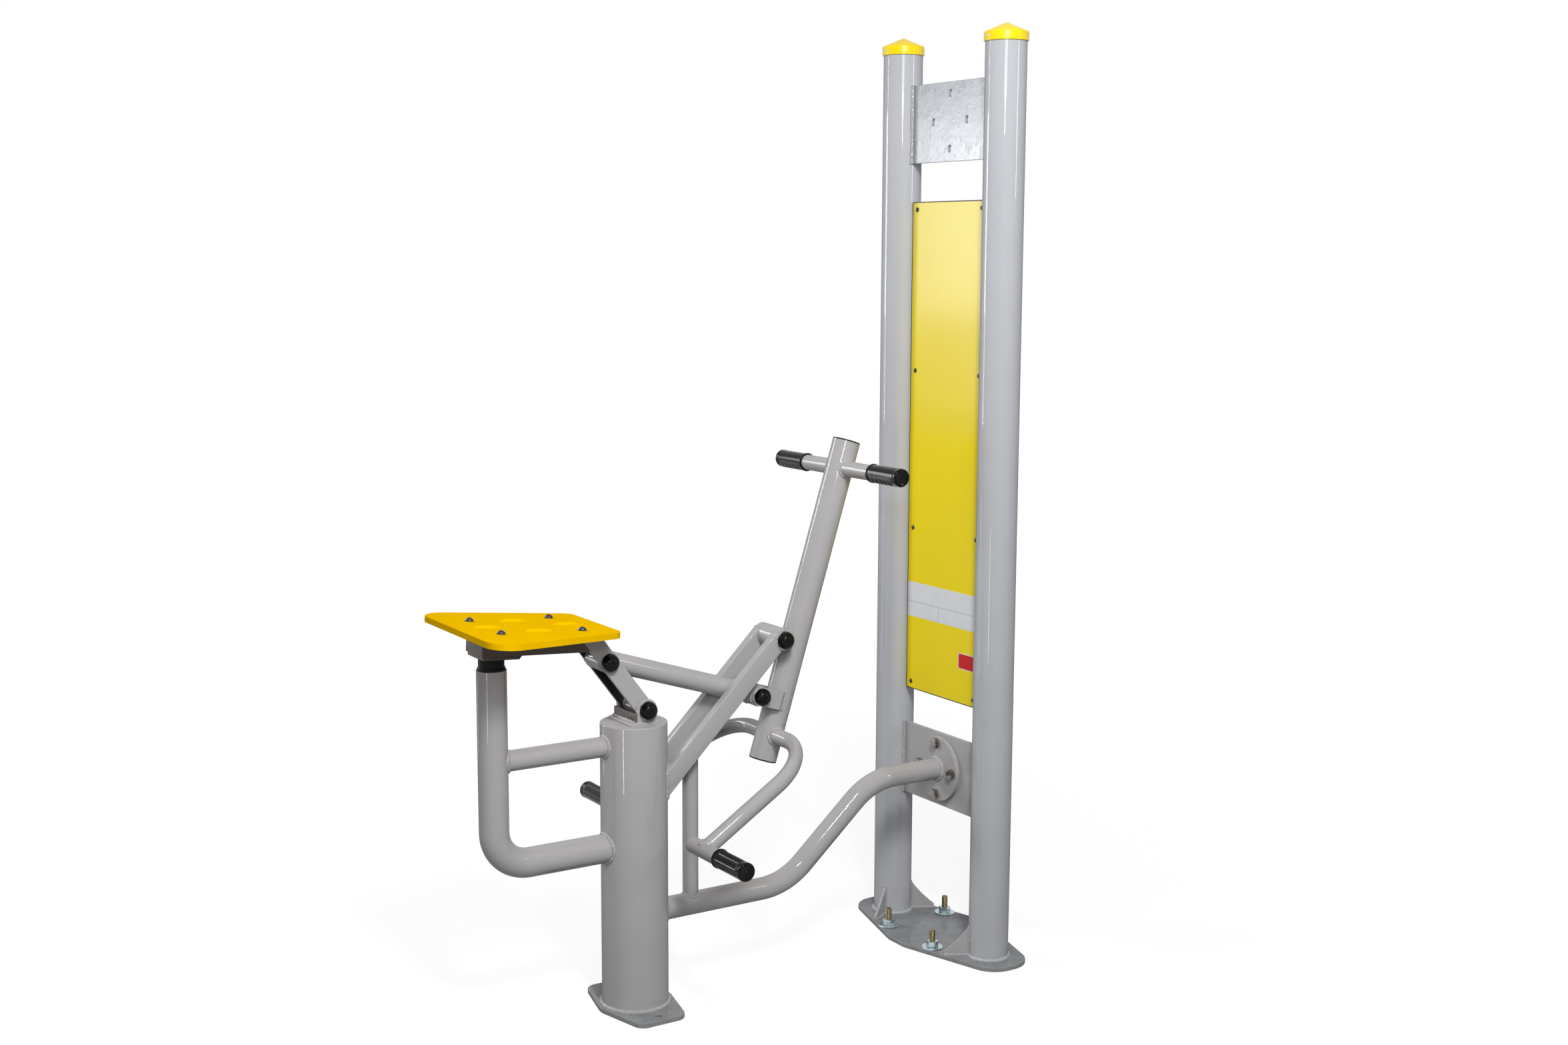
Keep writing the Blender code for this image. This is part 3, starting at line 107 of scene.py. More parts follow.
LINK_TUBE_R = 0.02415
LINK_LOW_Z = 0.197
LINK_HIGH_Z = 0.3985
LINK_LOW_BEND_X = 0.372
LINK_HIGH_BEND_X = 0.601
LINK_BEND = 0.160
FLANGE_R = 0.0755
FLANGE_T = 0.010
BOLT_CIRCLE_R = 0.060
BOLT_R = 0.006
BOLT_FLATS = 0.019
BOLT_HEAD_H = 0.0075
BOLT_NUT_H = 0.010
BOLT_WASHER_R = 0.012
BOLT_WASHER_T = 0.0025
BOLT_TIP = 0.005

PYLON_X = 0.7984
PYLON_POST_Y = 0.1834
PYLON_POST_R = 0.04445
PYLON_POST_TOP = 2.030
PLINTH_T = 0.010
PLINTH_HALF_X = 0.122
PLINTH_SHOULDER_Y = 0.030
PLINTH_END_X = 0.054
PLINTH_END_Y = 0.269
PLINTH_SHOULDER_ROUND = 0.040
PLINTH_END_ROUND = 0.060
GUSSET_T = 0.006
GUSSET_REACH = 0.100
GUSSET_H = 0.065
GUSSET_TOE = 0.008
GUSSET_SAG = 0.002
GUSSET_ANGLE = math.radians(30)
POST_CAP_RIM_R = 0.04775
POST_CAP_LAP = 0.018
POST_CAP_RIM_H = 0.020
POST_CAP_APEX_H = 0.019
BRACKET_T = 0.008
BRACKET_X = 0.7975
LOWER_BRACKET_LOW = 0.311
LOWER_BRACKET_H = 0.170
UPPER_BRACKET_LOW = 1.770
UPPER_BRACKET_H = 0.173
SLOT_CIRCLE_R = 0.060
SLOT_CENTRE_Z = 1.858
SLOT_R = 0.0055
SLOT_STRAIGHT = 0.005
BOARD_X = 0.795
BOARD_T = 0.003
BOARD_HALF_Y = 0.135
BOARD_LOW = 0.563
BOARD_TOP = 1.685
BOARD_ROUND = 0.004
BOARD_SCREW_Y = 0.1165
BOARD_SCREW_MARGIN = 0.0175
TAB_T = 0.004
TAB_H = 0.026
TAB_PAST_SCREW = 0.010
ANCHOR_X = 0.082
ANCHOR_Y = 0.0845
ANCHOR_R = 0.0072
ANCHOR_TOP = 0.052
ANCHOR_FLATS = 0.024
ANCHOR_NUT_H = 0.013
ANCHOR_WASHER_R = 0.024
ANCHOR_WASHER_T = 0.003

SEAT_TILT = math.radians(3.5)
SEAT_MID = (-0.200, 0.834)
SEAT_T = 0.012
SEAT_BACK = 0.190
SEAT_FRONT = 0.117
SEAT_BACK_HALF = 0.203
SEAT_FRONT_HALF = 0.118
SEAT_BACK_ROUND = 0.045
SEAT_FRONT_ROUND = 0.028
SEAT_EDGE = 0.0025
FRAME_HALF_Y = 0.0405
FRAME_DEPTH = 0.040
FRAME_WALL = 0.003
FRAME_BACK = 0.148
STOP_T = 0.007
STOP_HALF_Y = 0.0375
STOP_BACK = 0.145
STOP_LENGTH = 0.083
STOP_CHAMFER = 0.005
LINK_BAR_R = 0.019
LINK_BAR_T = 0.008
LINK_BAR_OUTER_Y = 0.0385
PIVOT_TUBE_R = 0.0165

ROD_R = 0.0212
ROD_EYE_R = 0.0225
POLE_LEAN = math.radians(17.345)
POLE_R = 0.03015
POLE_WALL = 0.003
POLE_ABOVE = 0.4509
POLE_BELOW = 0.2639
HUB_R = 0.02415
HUB_STANDS_OFF = 0.0006
LUG_BELOW = 0.1288
LUG_BEHIND = 0.0699
LUG_T = 0.0085
LUG_HALF_W = 0.020
LUG_BITE = 0.00115
PLUG_T = 0.003
PLUG_EDGE = 0.0008
HANDLE_ABOVE = 0.3893
HANDLE_R = 0.01685
HANDLE_HALF = 0.2315
FOOT_BAR_BELOW = 0.2053
FOOT_BAR_HALF = 0.1785
FOOT_BAR_BEND = 0.106
FOOT_BAR_FLAT_SHARE = 0.27
FOOT_BAR_SLOPE = math.radians(32.2)
FOOT_BAR_LEG = 0.315
PEG_INNER_Y = 0.1325
PEG_OUTER_Y = 0.345
GRIP_L = 0.106
GRIP_WALL = 0.0018
GRIP_RIM_PROUD = 0.0015
GRIP_RIM_T = 0.004

# Sizes that only the looks have
POST_EDGE = 0.0025
PLUG_RIM = 0.004
PLUG_SLOPE = 0.002
PLUG_DISH = 0.0006
PLATE_EDGE = 0.0012
THIN_EDGE = 0.0005
BEAD_R = 0.0042
BEAD_FOOT_R = 0.0052
BEAD_THIN_R = 0.0027
BEAD_LOWER_R = BEAD_R * 1.1
BEAD_WIDE_R = BEAD_R * 1.2
BEAD_STEP = 0.0016
BEAD_PITCH = 0.0052
BEAD_LUMP = 0.0062
BEAD_LUMP_SHARE = 0.15
BEAD_RIPPLE_SHARE = 0.07
BEAD_UNEVEN_SHARE = 0.06
BEAD_SIDES = 10
SEED = 11
THREAD_SHARE = 0.10
THREAD_TAPER = 0.15
ANCHOR_PITCH = 0.002
BOLT_PITCH = 0.00175
HEX_CHAMFER_TILT = math.tan(math.radians(30))
HEX_END_SHARE = 0.97
SOCKET_TAPER_SHARE = 0.95
SOCKET_FLOOR_SHARE = 0.35
COLLAR_EDGE = 0.0008
WASHER_EDGE = 0.0004
ANCHOR_WASHER_EDGE = 0.0005
ROD_EYE_EDGE = 0.0006
WELDED_EDGE = THIN_EDGE * 2
CAP_STRAIGHT = 0.0022
CAP_EDGE = 0.0005
RUBBER_EDGE = 0.001
PEG_EDGE = 0.0015
BAR_INSIDE_GRIP = 0.006
GRIP_END_PROUD = 0.0004
GRIP_END_ROUND = 0.0042
GRIP_STEP = 0.001
GRIP_PLAIN_END = 0.012
GRIP_RIM_EDGE = 0.0015
GRIP_RIM_CHAMFER = 0.0006
GRIP_FADE = 12
GRIP_FLUTES = 36
GRIP_FLUTE = 0.0007
GRIP_SINK = 0.0004
GRIP_WAVES = 6
GRIP_WAVE = 0.0016
GRIP_WAVE_POWER = 1.5
FLUTED_PAST = 0.15
FLUTED_FADE = 0.35
SCREW_R = 0.0055
SCREW_H = 0.0025
SCREW_SOCKET_R = 0.0022
SEAT_BOLT_R = 0.0085
SEAT_BOLT_H = 0.0064
SEAT_BOLT_SOCKET_R = 0.003
SEAT_WASHER_R = 0.0100
SEAT_WASHER_T = 0.0010
SEAT_BOLT_BACK_X = -0.3265
SEAT_BOLT_FRONT_X = -0.1531
SEAT_BOLT_Y = 0.0764
HOLLOWS = ((-0.320, 0.0), (-0.238, 0.060), (-0.238, -0.060), (-0.150, 0.0))
HOLLOW_LENGTH = 0.060
HOLLOW_WIDTH = 0.040
HOLLOW_DEPTH = 0.0060
HOLLOW_DOT_R = 0.0026
HOLLOW_DOT_AHEAD = 0.0350
HOLLOW_OVAL_POWER = 0.8
HOLLOW_DOME_POWER = 0.55
CAP_SCREW_R = 0.0032
CAP_SCREW_H = 0.0014
CAP_SCREW_SOCKET_R = 0.0010
CAP_SCREW_TURN = math.radians(-183.5)
POST_CAP_TIP = ((0, 0), (0.004, 0.0008), (0.009, 0.0030))
POST_CAP_SHOULDER = ((0.0016, -0.0002), (0.0004, 0.0010), (0, 0.0024))
POST_CAP_EDGE = 0.0006
LUG_SHORT = 0.006
LUG_SLOPE = 0.010
LUG_BEAD_R = 0.0022
PRINT_PROUD = 0.00015
LINE_PROUD = 0.00025
WHITE_FIELD = (0.735, 0.816)
FIELD_LINES = (((-0.1325, 0.1325), (0.7700, 0.7708)), ((0.0156, 0.0164), (0.735, 0.7704)))
RED_FIELD_Y = (-0.115, -0.062)
RED_FIELD_Z = (0.645, 0.678)
RED_RIM = 0.002
BOARD_BORDER = 0.0025
GROUND_PROUD = 0.00006
YELLOW_INK = (247, 222, 0)
# A paler yellow over the board's upper part, between two heights: a painted sheen.
SHEEN_PAINTED_INK = (236, 216, 84)
SHEEN_PAINTED_FROM = (1.15, 1.62)

# Sides and steps of the round pieces
SIDES_WIDE = 96
SIDES_TUBE = 56
SIDES_PIN = 40
SIDES_THREAD = 24
SIDES_HEX = 48
SIDES_GRIP = 144
SIDES_HEAD = 36
SIDES_HOLLOW = 40
GRIP_STEPS = 60
BEND_STEPS = 22
CORNER_STEPS = 10
SEAT_CORNER_STEPS = 14
ARM_CORNER_STEPS = 5
SLOT_STEPS = 12
DOME_STEPS = 12
HEAD_STEPS = 8
RUBBER_STEPS = 8
GUSSET_STEPS = 12

FORWARD = Vector((1, 0, 0))
LEFT = Vector((0, 1, 0))
UP = Vector((0, 0, 1))
ORIGIN = Vector((0, 0, 0))
SQUARE = ((1, 1), (-1, 1), (-1, -1), (1, -1))
QUARTER_TURNS = [math.pi / 2 * k for k in range(4)]
SHARP_ANGLE = math.radians(35)
ROUNDED_ANGLE = math.radians(50)

# Camera, solved from the photograph
CAMERA_AT = (-1.8036, -3.3898, 1.5654)
CAMERA_YAW = math.radians(57.380)
CAMERA_PITCH = math.radians(-8.011)
CAMERA_ROLL = math.radians(0.2615)
CAMERA_LENS = 43.69
SENSOR = 36

# Light, where 1 is the brightness of white
COAT_EDGE_SHARE = 0.12
COAT_FADE = (0.4, 0.9)
AMBIENT = 0.10
FLOOR_LIFT = 0.87
FLOOR_HALF = 40
FLOOR_MIDDLE = (0.35, 0, 0)
FLOOR_FADE = (0.9, 3.4)
FLOOR_GREY = (0.2, 0.2, 0.2, 1)
WHITE = (1, 1, 1, 1)
# Each lamp's name, place, target, width, height and brightness
LAMPS = (
    ("key", (-0.52, -2.15, 2.9), (0.3, 0, 0.9), 0.34, 0.68, 70),
    ("key_fill", (-0.52, -2.15, 2.9), (0.3, 0, 0.9), 1.4, 1.6, 4.0),
    ("front_spot", (-1.9, -3.55, 2.2), (0.3, 0, 0.9), 0.24, 0.24, 50),
    ("front_high", (-1.9, -3.6, 2.45), (0.8, 0, 1.8), 1.1, 0.45, 12),
    ("overhead", (0.1, 0.1, 3.4), (0.1, 0, 0), 1.2, 1.2, 0.6),
    ("left_line", (-1.17, 2.0, 1.7), (0.8, 0, 1.7), 0.13, 1.5, 22),
    ("left_foot", (-1.17, 2.0, 0.35), (0.8, 0, 0.35), 0.12, 0.7, 7),
    ("left_high", (-0.83, 2.0, 1.71), (0.8, 0, 1.71), 0.42, 0.7, 12),
    ("left_middle", (-0.77, 2.0, 1.17), (0.8, 0, 1.17), 0.42, 0.4, 2),
    ("front_low", (-2.19, -1.14, 0.28), (-0.3, 0, 0.28), 0.11, 0.5, 20),
    ("right_high", (2.03, -2.18, 2.05), (0.8, -0.18, 2.05), 0.2, 0.6, 16),
)

LOOKS = {}
UNEVEN = random.Random(SEED)


# Plane geometry


def place(pair, y=0.0):
    """The 3-D place of an (x, z) pair at a distance to the left of the middle plane."""
    return Vector((pair[0], y, pair[1]))


def along(point, direction, distance):
    """The (x, z) pair that lies a distance from another in a unit direction."""
    return (point[0] + direction[0] * distance, point[1] + direction[1] * distance)


def meet(start, direction, other, other_direction):
    """Where two lines of the middle plane cross."""
    det = other_direction[0] * direction[1] - direction[0] * other_direction[1]
    dx, dz = other[0] - start[0], other[1] - start[1]
    distance = (other_direction[0] * dz - other_direction[1] * dx) / det
    return along(start, direction, distance)


def over_x(point, direction, x):
    """Where a line of the middle plane passes an x."""
    return along(point, direction, (x - point[0]) / direction[0])


SEAT_ALONG = (math.cos(SEAT_TILT), -math.sin(SEAT_TILT))
SEAT_UP = (math.sin(SEAT_TILT), math.cos(SEAT_TILT))
ARM_ALONG = (math.cos(ARM_TILT), math.sin(ARM_TILT))
ARM_DOWN = (math.sin(ARM_TILT), -math.cos(ARM_TILT))
POLE_ALONG = (math.sin(POLE_LEAN), math.cos(POLE_LEAN))
POLE_AHEAD = (math.cos(POLE_LEAN), -math.sin(POLE_LEAN))
LINK_BAR_INNER_Y = LINK_BAR_OUTER_Y - LINK_BAR_T
EAR_INNER_Y = LINK_BAR_OUTER_Y + EAR_SIDE_PLAY
EAR_OUTER_Y = EAR_INNER_Y + EAR_T
PAD_TOP = POST_TOP + PAD_T
COLLAR_INNER_Y = ARM_INNER_Y - COLLAR_PROUD
COLLAR_OUTER_Y = ARM_INNER_Y + ARM_WIDTH + COLLAR_PROUD
LUG_INNER_Y = POLE_R - LUG_BITE
LUG_OUTER_Y = LUG_INNER_Y + LUG_T
POLE_FOOT = along(LEVER_PIVOT, POLE_AHEAD, POLE_R + HUB_R + HUB_STANDS_OFF)
LOOP_PIVOT = along(along(POLE_FOOT, POLE_ALONG, -LUG_BELOW), POLE_AHEAD, -LUG_BEHIND)
HANDLE_AT = along(POLE_FOOT, POLE_ALONG, HANDLE_ABOVE)
FOOT_BAR_AT = along(POLE_FOOT, POLE_ALONG, -FOOT_BAR_BELOW)
FOOT_BAR_DOWN = (-math.cos(FOOT_BAR_SLOPE), -math.sin(FOOT_BAR_SLOPE))
PEG_AT = along(FOOT_BAR_AT, FOOT_BAR_DOWN, FOOT_BAR_LEG)
SEAT_UNDER = along(SEAT_MID, SEAT_UP, -SEAT_T - TOUCH)
FRAME_UNDER = along(SEAT_UNDER, SEAT_UP, -FRAME_DEPTH)
STOP_UNDER = along(FRAME_UNDER, SEAT_UP, -TOUCH - STOP_T)
BAR_LENGTH = math.hypot(ROD_PIVOT[0] - SEAT_PIVOT[0], ROD_PIVOT[1] - SEAT_PIVOT[1])
BAR_ALONG = ((ROD_PIVOT[0] - SEAT_PIVOT[0]) / BAR_LENGTH, (ROD_PIVOT[1] - SEAT_PIVOT[1]) / BAR_LENGTH)
BAR_AHEAD = (BAR_ALONG[1], -BAR_ALONG[0])
FLANGE_BACK = BRACKET_X - BRACKET_T / 2 - TOUCH
FLANGE_FRONT = FLANGE_BACK - FLANGE_T
GRIP_R = HANDLE_R + TOUCH + GRIP_WALL
GRIP_DISH = ((GRIP_R - 0.0055, 0.0002), (GRIP_R - 0.0068, 0.0010), (0.0030, 0.0010), (0.0022, 0.0002))
HUB_BEAD_R = BEAD_R * 1.15
HUB_BEAD_UP = POLE_R * 0.28
HUB_BEAD_HALF = (COLLAR_INNER_Y - TOUCH) * 0.9
SCREW_SPAN = BOARD_TOP - BOARD_LOW - 2 * BOARD_SCREW_MARGIN
SCREW_HEIGHTS = [BOARD_LOW + BOARD_SCREW_MARGIN + SCREW_SPAN * k / 3 for k in range(4)]


# Materials


def srgb(red, green, blue):
    """The linear colour of three sRGB levels from 0 to 255."""
    levels = [level / 255 for level in (red, green, blue)]
    linear = [c / 12.92 if c <= 0.04045 else ((c + 0.055) / 1.055) ** 2.4 for c in levels]
    return (*linear, 1.0)


def feed(socket, value):
    """Sets a node's input to a value, or links it to another node's output."""
    if isinstance(value, bpy.types.NodeSocket):
        socket.id_data.links.new(value, socket)
    else:
        socket.default_value = value


def fill(node, **values):
    """Feeds a node's inputs by their names, where a _ stands for a space."""
    for name, value in values.items():
        feed(node.inputs[name.replace("_", " ")], value)
    return node


def add_node(tree, kind, **values):
    """A new shader node of a kind, with its inputs fed."""
    return fill(tree.nodes.new(f"ShaderNode{kind}"), **values)


class Look:
    """A material under construction: the Principled shader and short ways to add nodes to it."""

    def __init__(self, name, **values):
        self.material = bpy.data.materials.new(name)
        self.material.use_nodes = True
        self.tree = self.material.node_tree
        self.shader = fill(self.tree.nodes["Principled BSDF"], **values)
        self.place = add_node(self.tree, "TexCoord").outputs["Object"]

    def noise(self, scale, detail=2.0, roughness=0.5):
        values = {"Scale": scale, "Detail": detail, "Roughness": roughness}
        return add_node(self.tree, "TexNoise", Vector=self.place, **values).outputs["Fac"]

    def cells(self, scale):
        return add_node(self.tree, "TexVoronoi", Vector=self.place, Scale=scale).outputs["Color"]

    def mapped(self, value, low, high, from_low=0.3, from_high=0.7):
        values = {"From_Min": from_low, "From_Max": from_high, "To_Min": low, "To_Max": high}
        return add_node(self.tree, "MapRange", Value=value, **values).outputs["Result"]

    def blend(self, value, *pair):
        """Two colours mixed by a pattern, each an sRGB triple or another mix."""
        node = self.tree.nodes.new("ShaderNodeMix")
        node.data_type = "RGBA"
        feed(node.inputs["Factor"], value)
        for socket, colour in zip([each for each in node.inputs if each.type == "RGBA"], pair):
            feed(socket, srgb(*colour) if isinstance(colour, tuple) else colour)
        return [each for each in node.outputs if each.type == "RGBA"][0]

    def colour(self, value, first, second, from_low=0.3, from_high=0.7):
        """Base colour that wanders between two colours by a pattern."""
        pattern = self.mapped(value, 0, 1, from_low, from_high)
        fill(self.shader, Base_Color=self.blend(pattern, first, second))

    def rough(self, value, low, high):
        fill(self.shader, Roughness=self.mapped(value, low, high))

    def coat(self, weight, roughness):
        """A clear skin that fades where a surface turns away."""
        facing = add_node(self.tree, "LayerWeight").outputs["Facing"]
        faded = self.mapped(facing, weight, weight * COAT_EDGE_SHARE, *COAT_FADE)
        fill(self.shader, Coat_Weight=faded, Coat_Roughness=roughness, Specular_IOR_Level=0.0)

    def bump(self, value, height, before=None):
        """Relief of a pattern, a height in metres at its full swing, over the relief before it."""
        node = add_node(self.tree, "Bump", Strength=1.0, Distance=height, Height=value)
        if before:
            fill(node, Normal=before)
        fill(self.shader, Normal=node.outputs["Normal"])
        return node.outputs["Normal"]


def noisy(name, colours, roughness, *layers, coat=None, **values):
    """A material of noises, each given by its scale and detail.

    Two colours or two roughnesses follow the first two, and a height each layer of relief, finest first.
    """
    look = Look(name, **values)
    if coat:
        look.coat(*coat)
    look.colour(look.noise(*colours[:2]), *colours[2:])
    look.rough(look.noise(*roughness[:2]), *roughness[2:])
    relief = None
    for *noise, height in layers:
        relief = look.bump(look.noise(*noise), height, relief)
    return look


def powder_coat(name, first, second):
    """Glossy powder coat: a slight orange peel under a clear skin."""
    layers = ((220, 1, 0.00002), (28, 1, 0.00005))
    return noisy(name, (9, 2, first, second), (60, 2, 0.40, 0.50), *layers, coat=(0.55, 0.045))


def printed(name, first, second, weight=0.3):
    """A printed face of the board under a clear film."""
    film = {"Coat_Weight": weight, "Coat_Roughness": 0.17, "Specular_IOR_Level": 0.0}
    return noisy(name, (30, 2, first, second), (50, 2, 0.34, 0.44), (20, 1, 0.00004), **film)


def board_yellow():
    """The board's yellow face, paler toward its upper end, where a sheen is painted."""
    look = printed("yellow_board_print", YELLOW_INK, YELLOW_INK, 0.34)
    height = add_node(look.tree, "SeparateXYZ", Vector=look.place).outputs["Z"]
    look.colour(height, YELLOW_INK, SHEEN_PAINTED_INK, *SHEEN_PAINTED_FROM)
    return look


def black_plastic(name, rough_low, rough_high):
    """Polished black moulding with faint flow marks."""
    colours = (60, 2, (4, 4, 5), (8, 8, 9))
    return noisy(name, colours, (80, 2, rough_low, rough_high), (220, 2, 0.00002), Specular_IOR_Level=0.12)


def metal(name, colours, roughness, height=0.00004, metallic=1.0):
    return noisy(name, colours, roughness, (900, 3, height), Metallic=metallic)


def galvanised():
    """Hot-dip zinc: crystals of slightly different brightness, with small lumps and runs."""
    look = Look("galvanised_steel", Metallic=0.1, Specular_IOR_Level=0.3)
    look.colour(look.cells(120), (150, 155, 160), (159, 163, 168), 0.1, 0.9)
    look.rough(look.cells(120), 0.20, 0.26)
    grain = look.bump(look.noise(330, 3, 0.6), 0.00008)
    lumps = look.bump(look.mapped(look.noise(110, 2), 0, 1, 0.58, 0.82), 0.00022, grain)
    look.bump(look.noise(24, 2), 0.0005, lumps)
    return look


def darker_foot_paint():
    """The powder coat of the two feet, darker and duller than the rest, with fine specks of dirt."""
    look = Look("darker_foot_powder_coat")
    look.coat(0.45, 0.05)
    specks = look.mapped(look.noise(170, 4, 0.7), 0, 1, 0.63, 0.68)
    patches = look.blend(look.mapped(look.noise(22, 3), 0, 1), (136, 138, 140), (151, 153, 155))
    fill(look.shader, Base_Color=look.blend(specks, patches, (54, 48, 42)))
    look.rough(look.noise(60), 0.42, 0.54)
    look.bump(look.noise(260, 4, 0.7), 0.00004)
    return look


def make_looks():
    """The looks of all slots, and those that only some pieces of a slot have."""
    seat_layers = ((900, 2, 0.00006), (45, 2, 0.00020))
    seat_colours = (14, 3, (244, 191, 0), (247, 195, 0))
    cap_colours = (40, 2, (249, 214, 2), (251, 220, 8))
    cap_layer = (150, 2, 0.00003)
    core_colours = (200, 2, (58, 56, 62), (74, 72, 78))
    rubber_colours = (80, 2, (12, 12, 13), (22, 22, 23))
    painted_shade_colours = (9, 2, (102, 93, 90), (109, 100, 97))
    # Stainless steel's grey, darkened below its real brightness: partly a painted dark reflection.
    steel_colours = (300, 3, (112, 108, 103), (140, 136, 130))
    # Steel darkened far below its real brightness: a painted dark reflection, for the seat bolts and board
    # screws.
    dark_reflection_colours = (300, 3, (62, 58, 54), (84, 80, 75))
    olive_colours = (260, 3, (92, 84, 58), (138, 127, 92))
    bluish_colours = (220, 3, (150, 168, 176), (204, 212, 214))
    bronze_colours = (200, 3, (142, 110, 64), (158, 126, 78))
    made = {
        "grey_paint": powder_coat("grey_powder_coat", (173, 171, 172), (177, 175, 176)),
        # A paler, bluer copy of the grey coat for the pylon's posts: painted light.
        "painted_light_post_paint": powder_coat("painted_light_powder_coat", (182, 184, 189), (186, 188, 193)),
        # A near-black coat: painted shade on the links' inner faces, in the gap between the two bars.
        "painted_shade_inside": powder_coat("painted_shade_thin_coat", (44, 40, 46), (52, 47, 54)),
        # A darker, brownish copy of the grey coat: painted shade for the box and stop under the seat and the
        # web behind the ears.
        "shaded_paint": noisy(
            "painted_shade_powder_coat", painted_shade_colours, (60, 2, 0.45, 0.55), (220, 1, 0.00003), coat=(0.3, 0.16)
        ),
        "darker_foot_paint": darker_foot_paint(),
        "yellow_seat": noisy(
            "yellow_polyethylene", seat_colours, (90, 2, 0.36, 0.48), *seat_layers, Specular_IOR_Level=0.0
        ),
        "yellow_cap": noisy(
            "yellow_moulded_plastic", cap_colours, (120, 2, 0.20, 0.30), cap_layer, Specular_IOR_Level=0.3
        ),
        "yellow_board": board_yellow(),
        "board_core": noisy(
            "board_core", core_colours, (300, 2, 0.5, 0.65), (600, 2, 0.00005), Specular_IOR_Level=0.4
        ),
        "white_print": printed("white_print", (222, 225, 230), (228, 230, 235)),
        "red_print": printed("red_print", (206, 14, 24), (212, 20, 28)),
        "line_print": printed("line_print", (150, 152, 158), (158, 160, 165)),
        "black_plastic": black_plastic("black_moulded_plastic", 0.11, 0.17),
        "black_dome": black_plastic("black_satin_moulding", 0.19, 0.25),
        "black_rubber": noisy(
            "black_rubber", rubber_colours, (150, 2, 0.50, 0.66), (700, 3, 0.00012), Specular_IOR_Level=0.12
        ),
        "galvanised": galvanised(),
        "stainless": metal("stainless_steel", steel_colours, (500, 3, 0.18, 0.32)),
        "dark_reflection_steel": metal("painted_dark_reflection_steel", dark_reflection_colours, (500, 3, 0.12, 0.22), 0.00003),
        "zinc_plated": metal("yellow_zinc", olive_colours, (400, 3, 0.30, 0.42), metallic=0.9),
        "blue_zinc": metal("blue_zinc", bluish_colours, (420, 3, 0.20, 0.34)),
        "bronze": noisy(
            "bearing_bronze", bronze_colours, (400, 3, 0.34, 0.46), (800, 3, 0.00004), Metallic=1.0
        ),
    }
    LOOKS.update({slot: look.material for slot, look in made.items()})


# Objects


def smooth(mesh):
    """Smooth shading that stays sharp at the edges."""
    mesh.shade_smooth()
    mesh.set_sharp_from_angle(angle=SHARP_ANGLE)


def add_object(name, bm, material=None):
    bmesh.ops.recalc_face_normals(bm, faces=bm.faces)
    mesh = bpy.data.meshes.new(name)
    bm.to_mesh(mesh)
    bm.free()
    obj = bpy.data.objects.new(name, mesh)
    bpy.context.scene.collection.objects.link(obj)
    if material:
        mesh.materials.append(material)
    smooth(mesh)
    return obj


def piece(name, bm, *nodes, slot="grey_paint", body="frame", look=None):
    """A visible piece: it hides the nodes it stands for, rides on its body, and takes its look, or else its
    slot's.
    """
    obj = add_object(name, bm, LOOKS[look or slot])
    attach(obj, body)
    if nodes:
        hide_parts(*nodes)
    return obj


def soften(obj, width=PLATE_EDGE, segments=3):
    """Rounds the sharp edges of a piece."""
    bevel = obj.modifiers.new("Edges", "BEVEL")
    bevel.width = width
    bevel.segments = segments
    bevel.limit_method = "ANGLE"
    bevel.angle_limit = ROUNDED_ANGLE
    bevel.harden_normals = True


def cut(obj, bm):
    """Takes a closed mesh out of a piece, for good."""
    cutter = add_object("cutter", bm)
    modifier = obj.modifiers.new("Cut", "BOOLEAN")
    modifier.operation = "DIFFERENCE"
    modifier.solver = "EXACT"
    modifier.object = cutter
    bpy.context.view_layer.update()
    result = bpy.data.meshes.new_from_object(obj.evaluated_get(bpy.context.evaluated_depsgraph_get()))
    obj.modifiers.clear()
    obj.data = result
    bpy.data.objects.remove(cutter, do_unlink=True)
    smooth(result)
    return obj


def mark(bm, chosen):
    """Gives the second material to the faces whose normals are chosen."""
    bmesh.ops.recalc_face_normals(bm, faces=bm.faces)
    for face in bm.faces:
        face.material_index = int(chosen(face.normal))


# Outlines


def half_round(centre, radius, start, turn=math.pi, steps=24):
    """The points of a half circle round a pair."""
    angles = [start + turn * k / steps for k in range(steps + 1)]
    return [(centre[0] + radius * math.cos(a), centre[1] + radius * math.sin(a)) for a in angles]


def quarter(radius, height, size, steps=6):
    """Profile points that round an outer edge at a radius and a height."""
    angles = [math.pi / 2 * k / steps for k in range(steps + 1)]
    return [(radius - size + size * math.cos(a), height - size + size * math.sin(a)) for a in angles]


def lower_quarter(radius, height, size, steps=6):
    """The same for an edge at the lower end, in rising order."""
    return [(r, height + size - up) for r, up in reversed(quarter(radius, size, size, steps))]


def arc(corner, back, ahead, radius, steps):
    """The points that round one corner to a radius, from its two unit directions."""
    half = back.angle(ahead) / 2
    centre = corner + (back + ahead).normalized() * radius / math.sin(half)
    start = corner + back * radius / math.tan(half) - centre
    end = corner + ahead * radius / math.tan(half) - centre
    turn = start.angle(end)
    axis = start.cross(end)
    return [centre + Quaternion(axis, turn * k / steps) @ start for k in range(steps + 1)]


def bent(corners, radius):
    """A route through corners, each inner one rounded to the bend radius."""
    route = [corners[0]]
    for before, corner, after in zip(corners, corners[1:], corners[2:]):
        back, ahead = (before - corner).normalized(), (after - corner).normalized()
        route += arc(corner, back, ahead, radius, BEND_STEPS)
    return route + [corners[-1]]


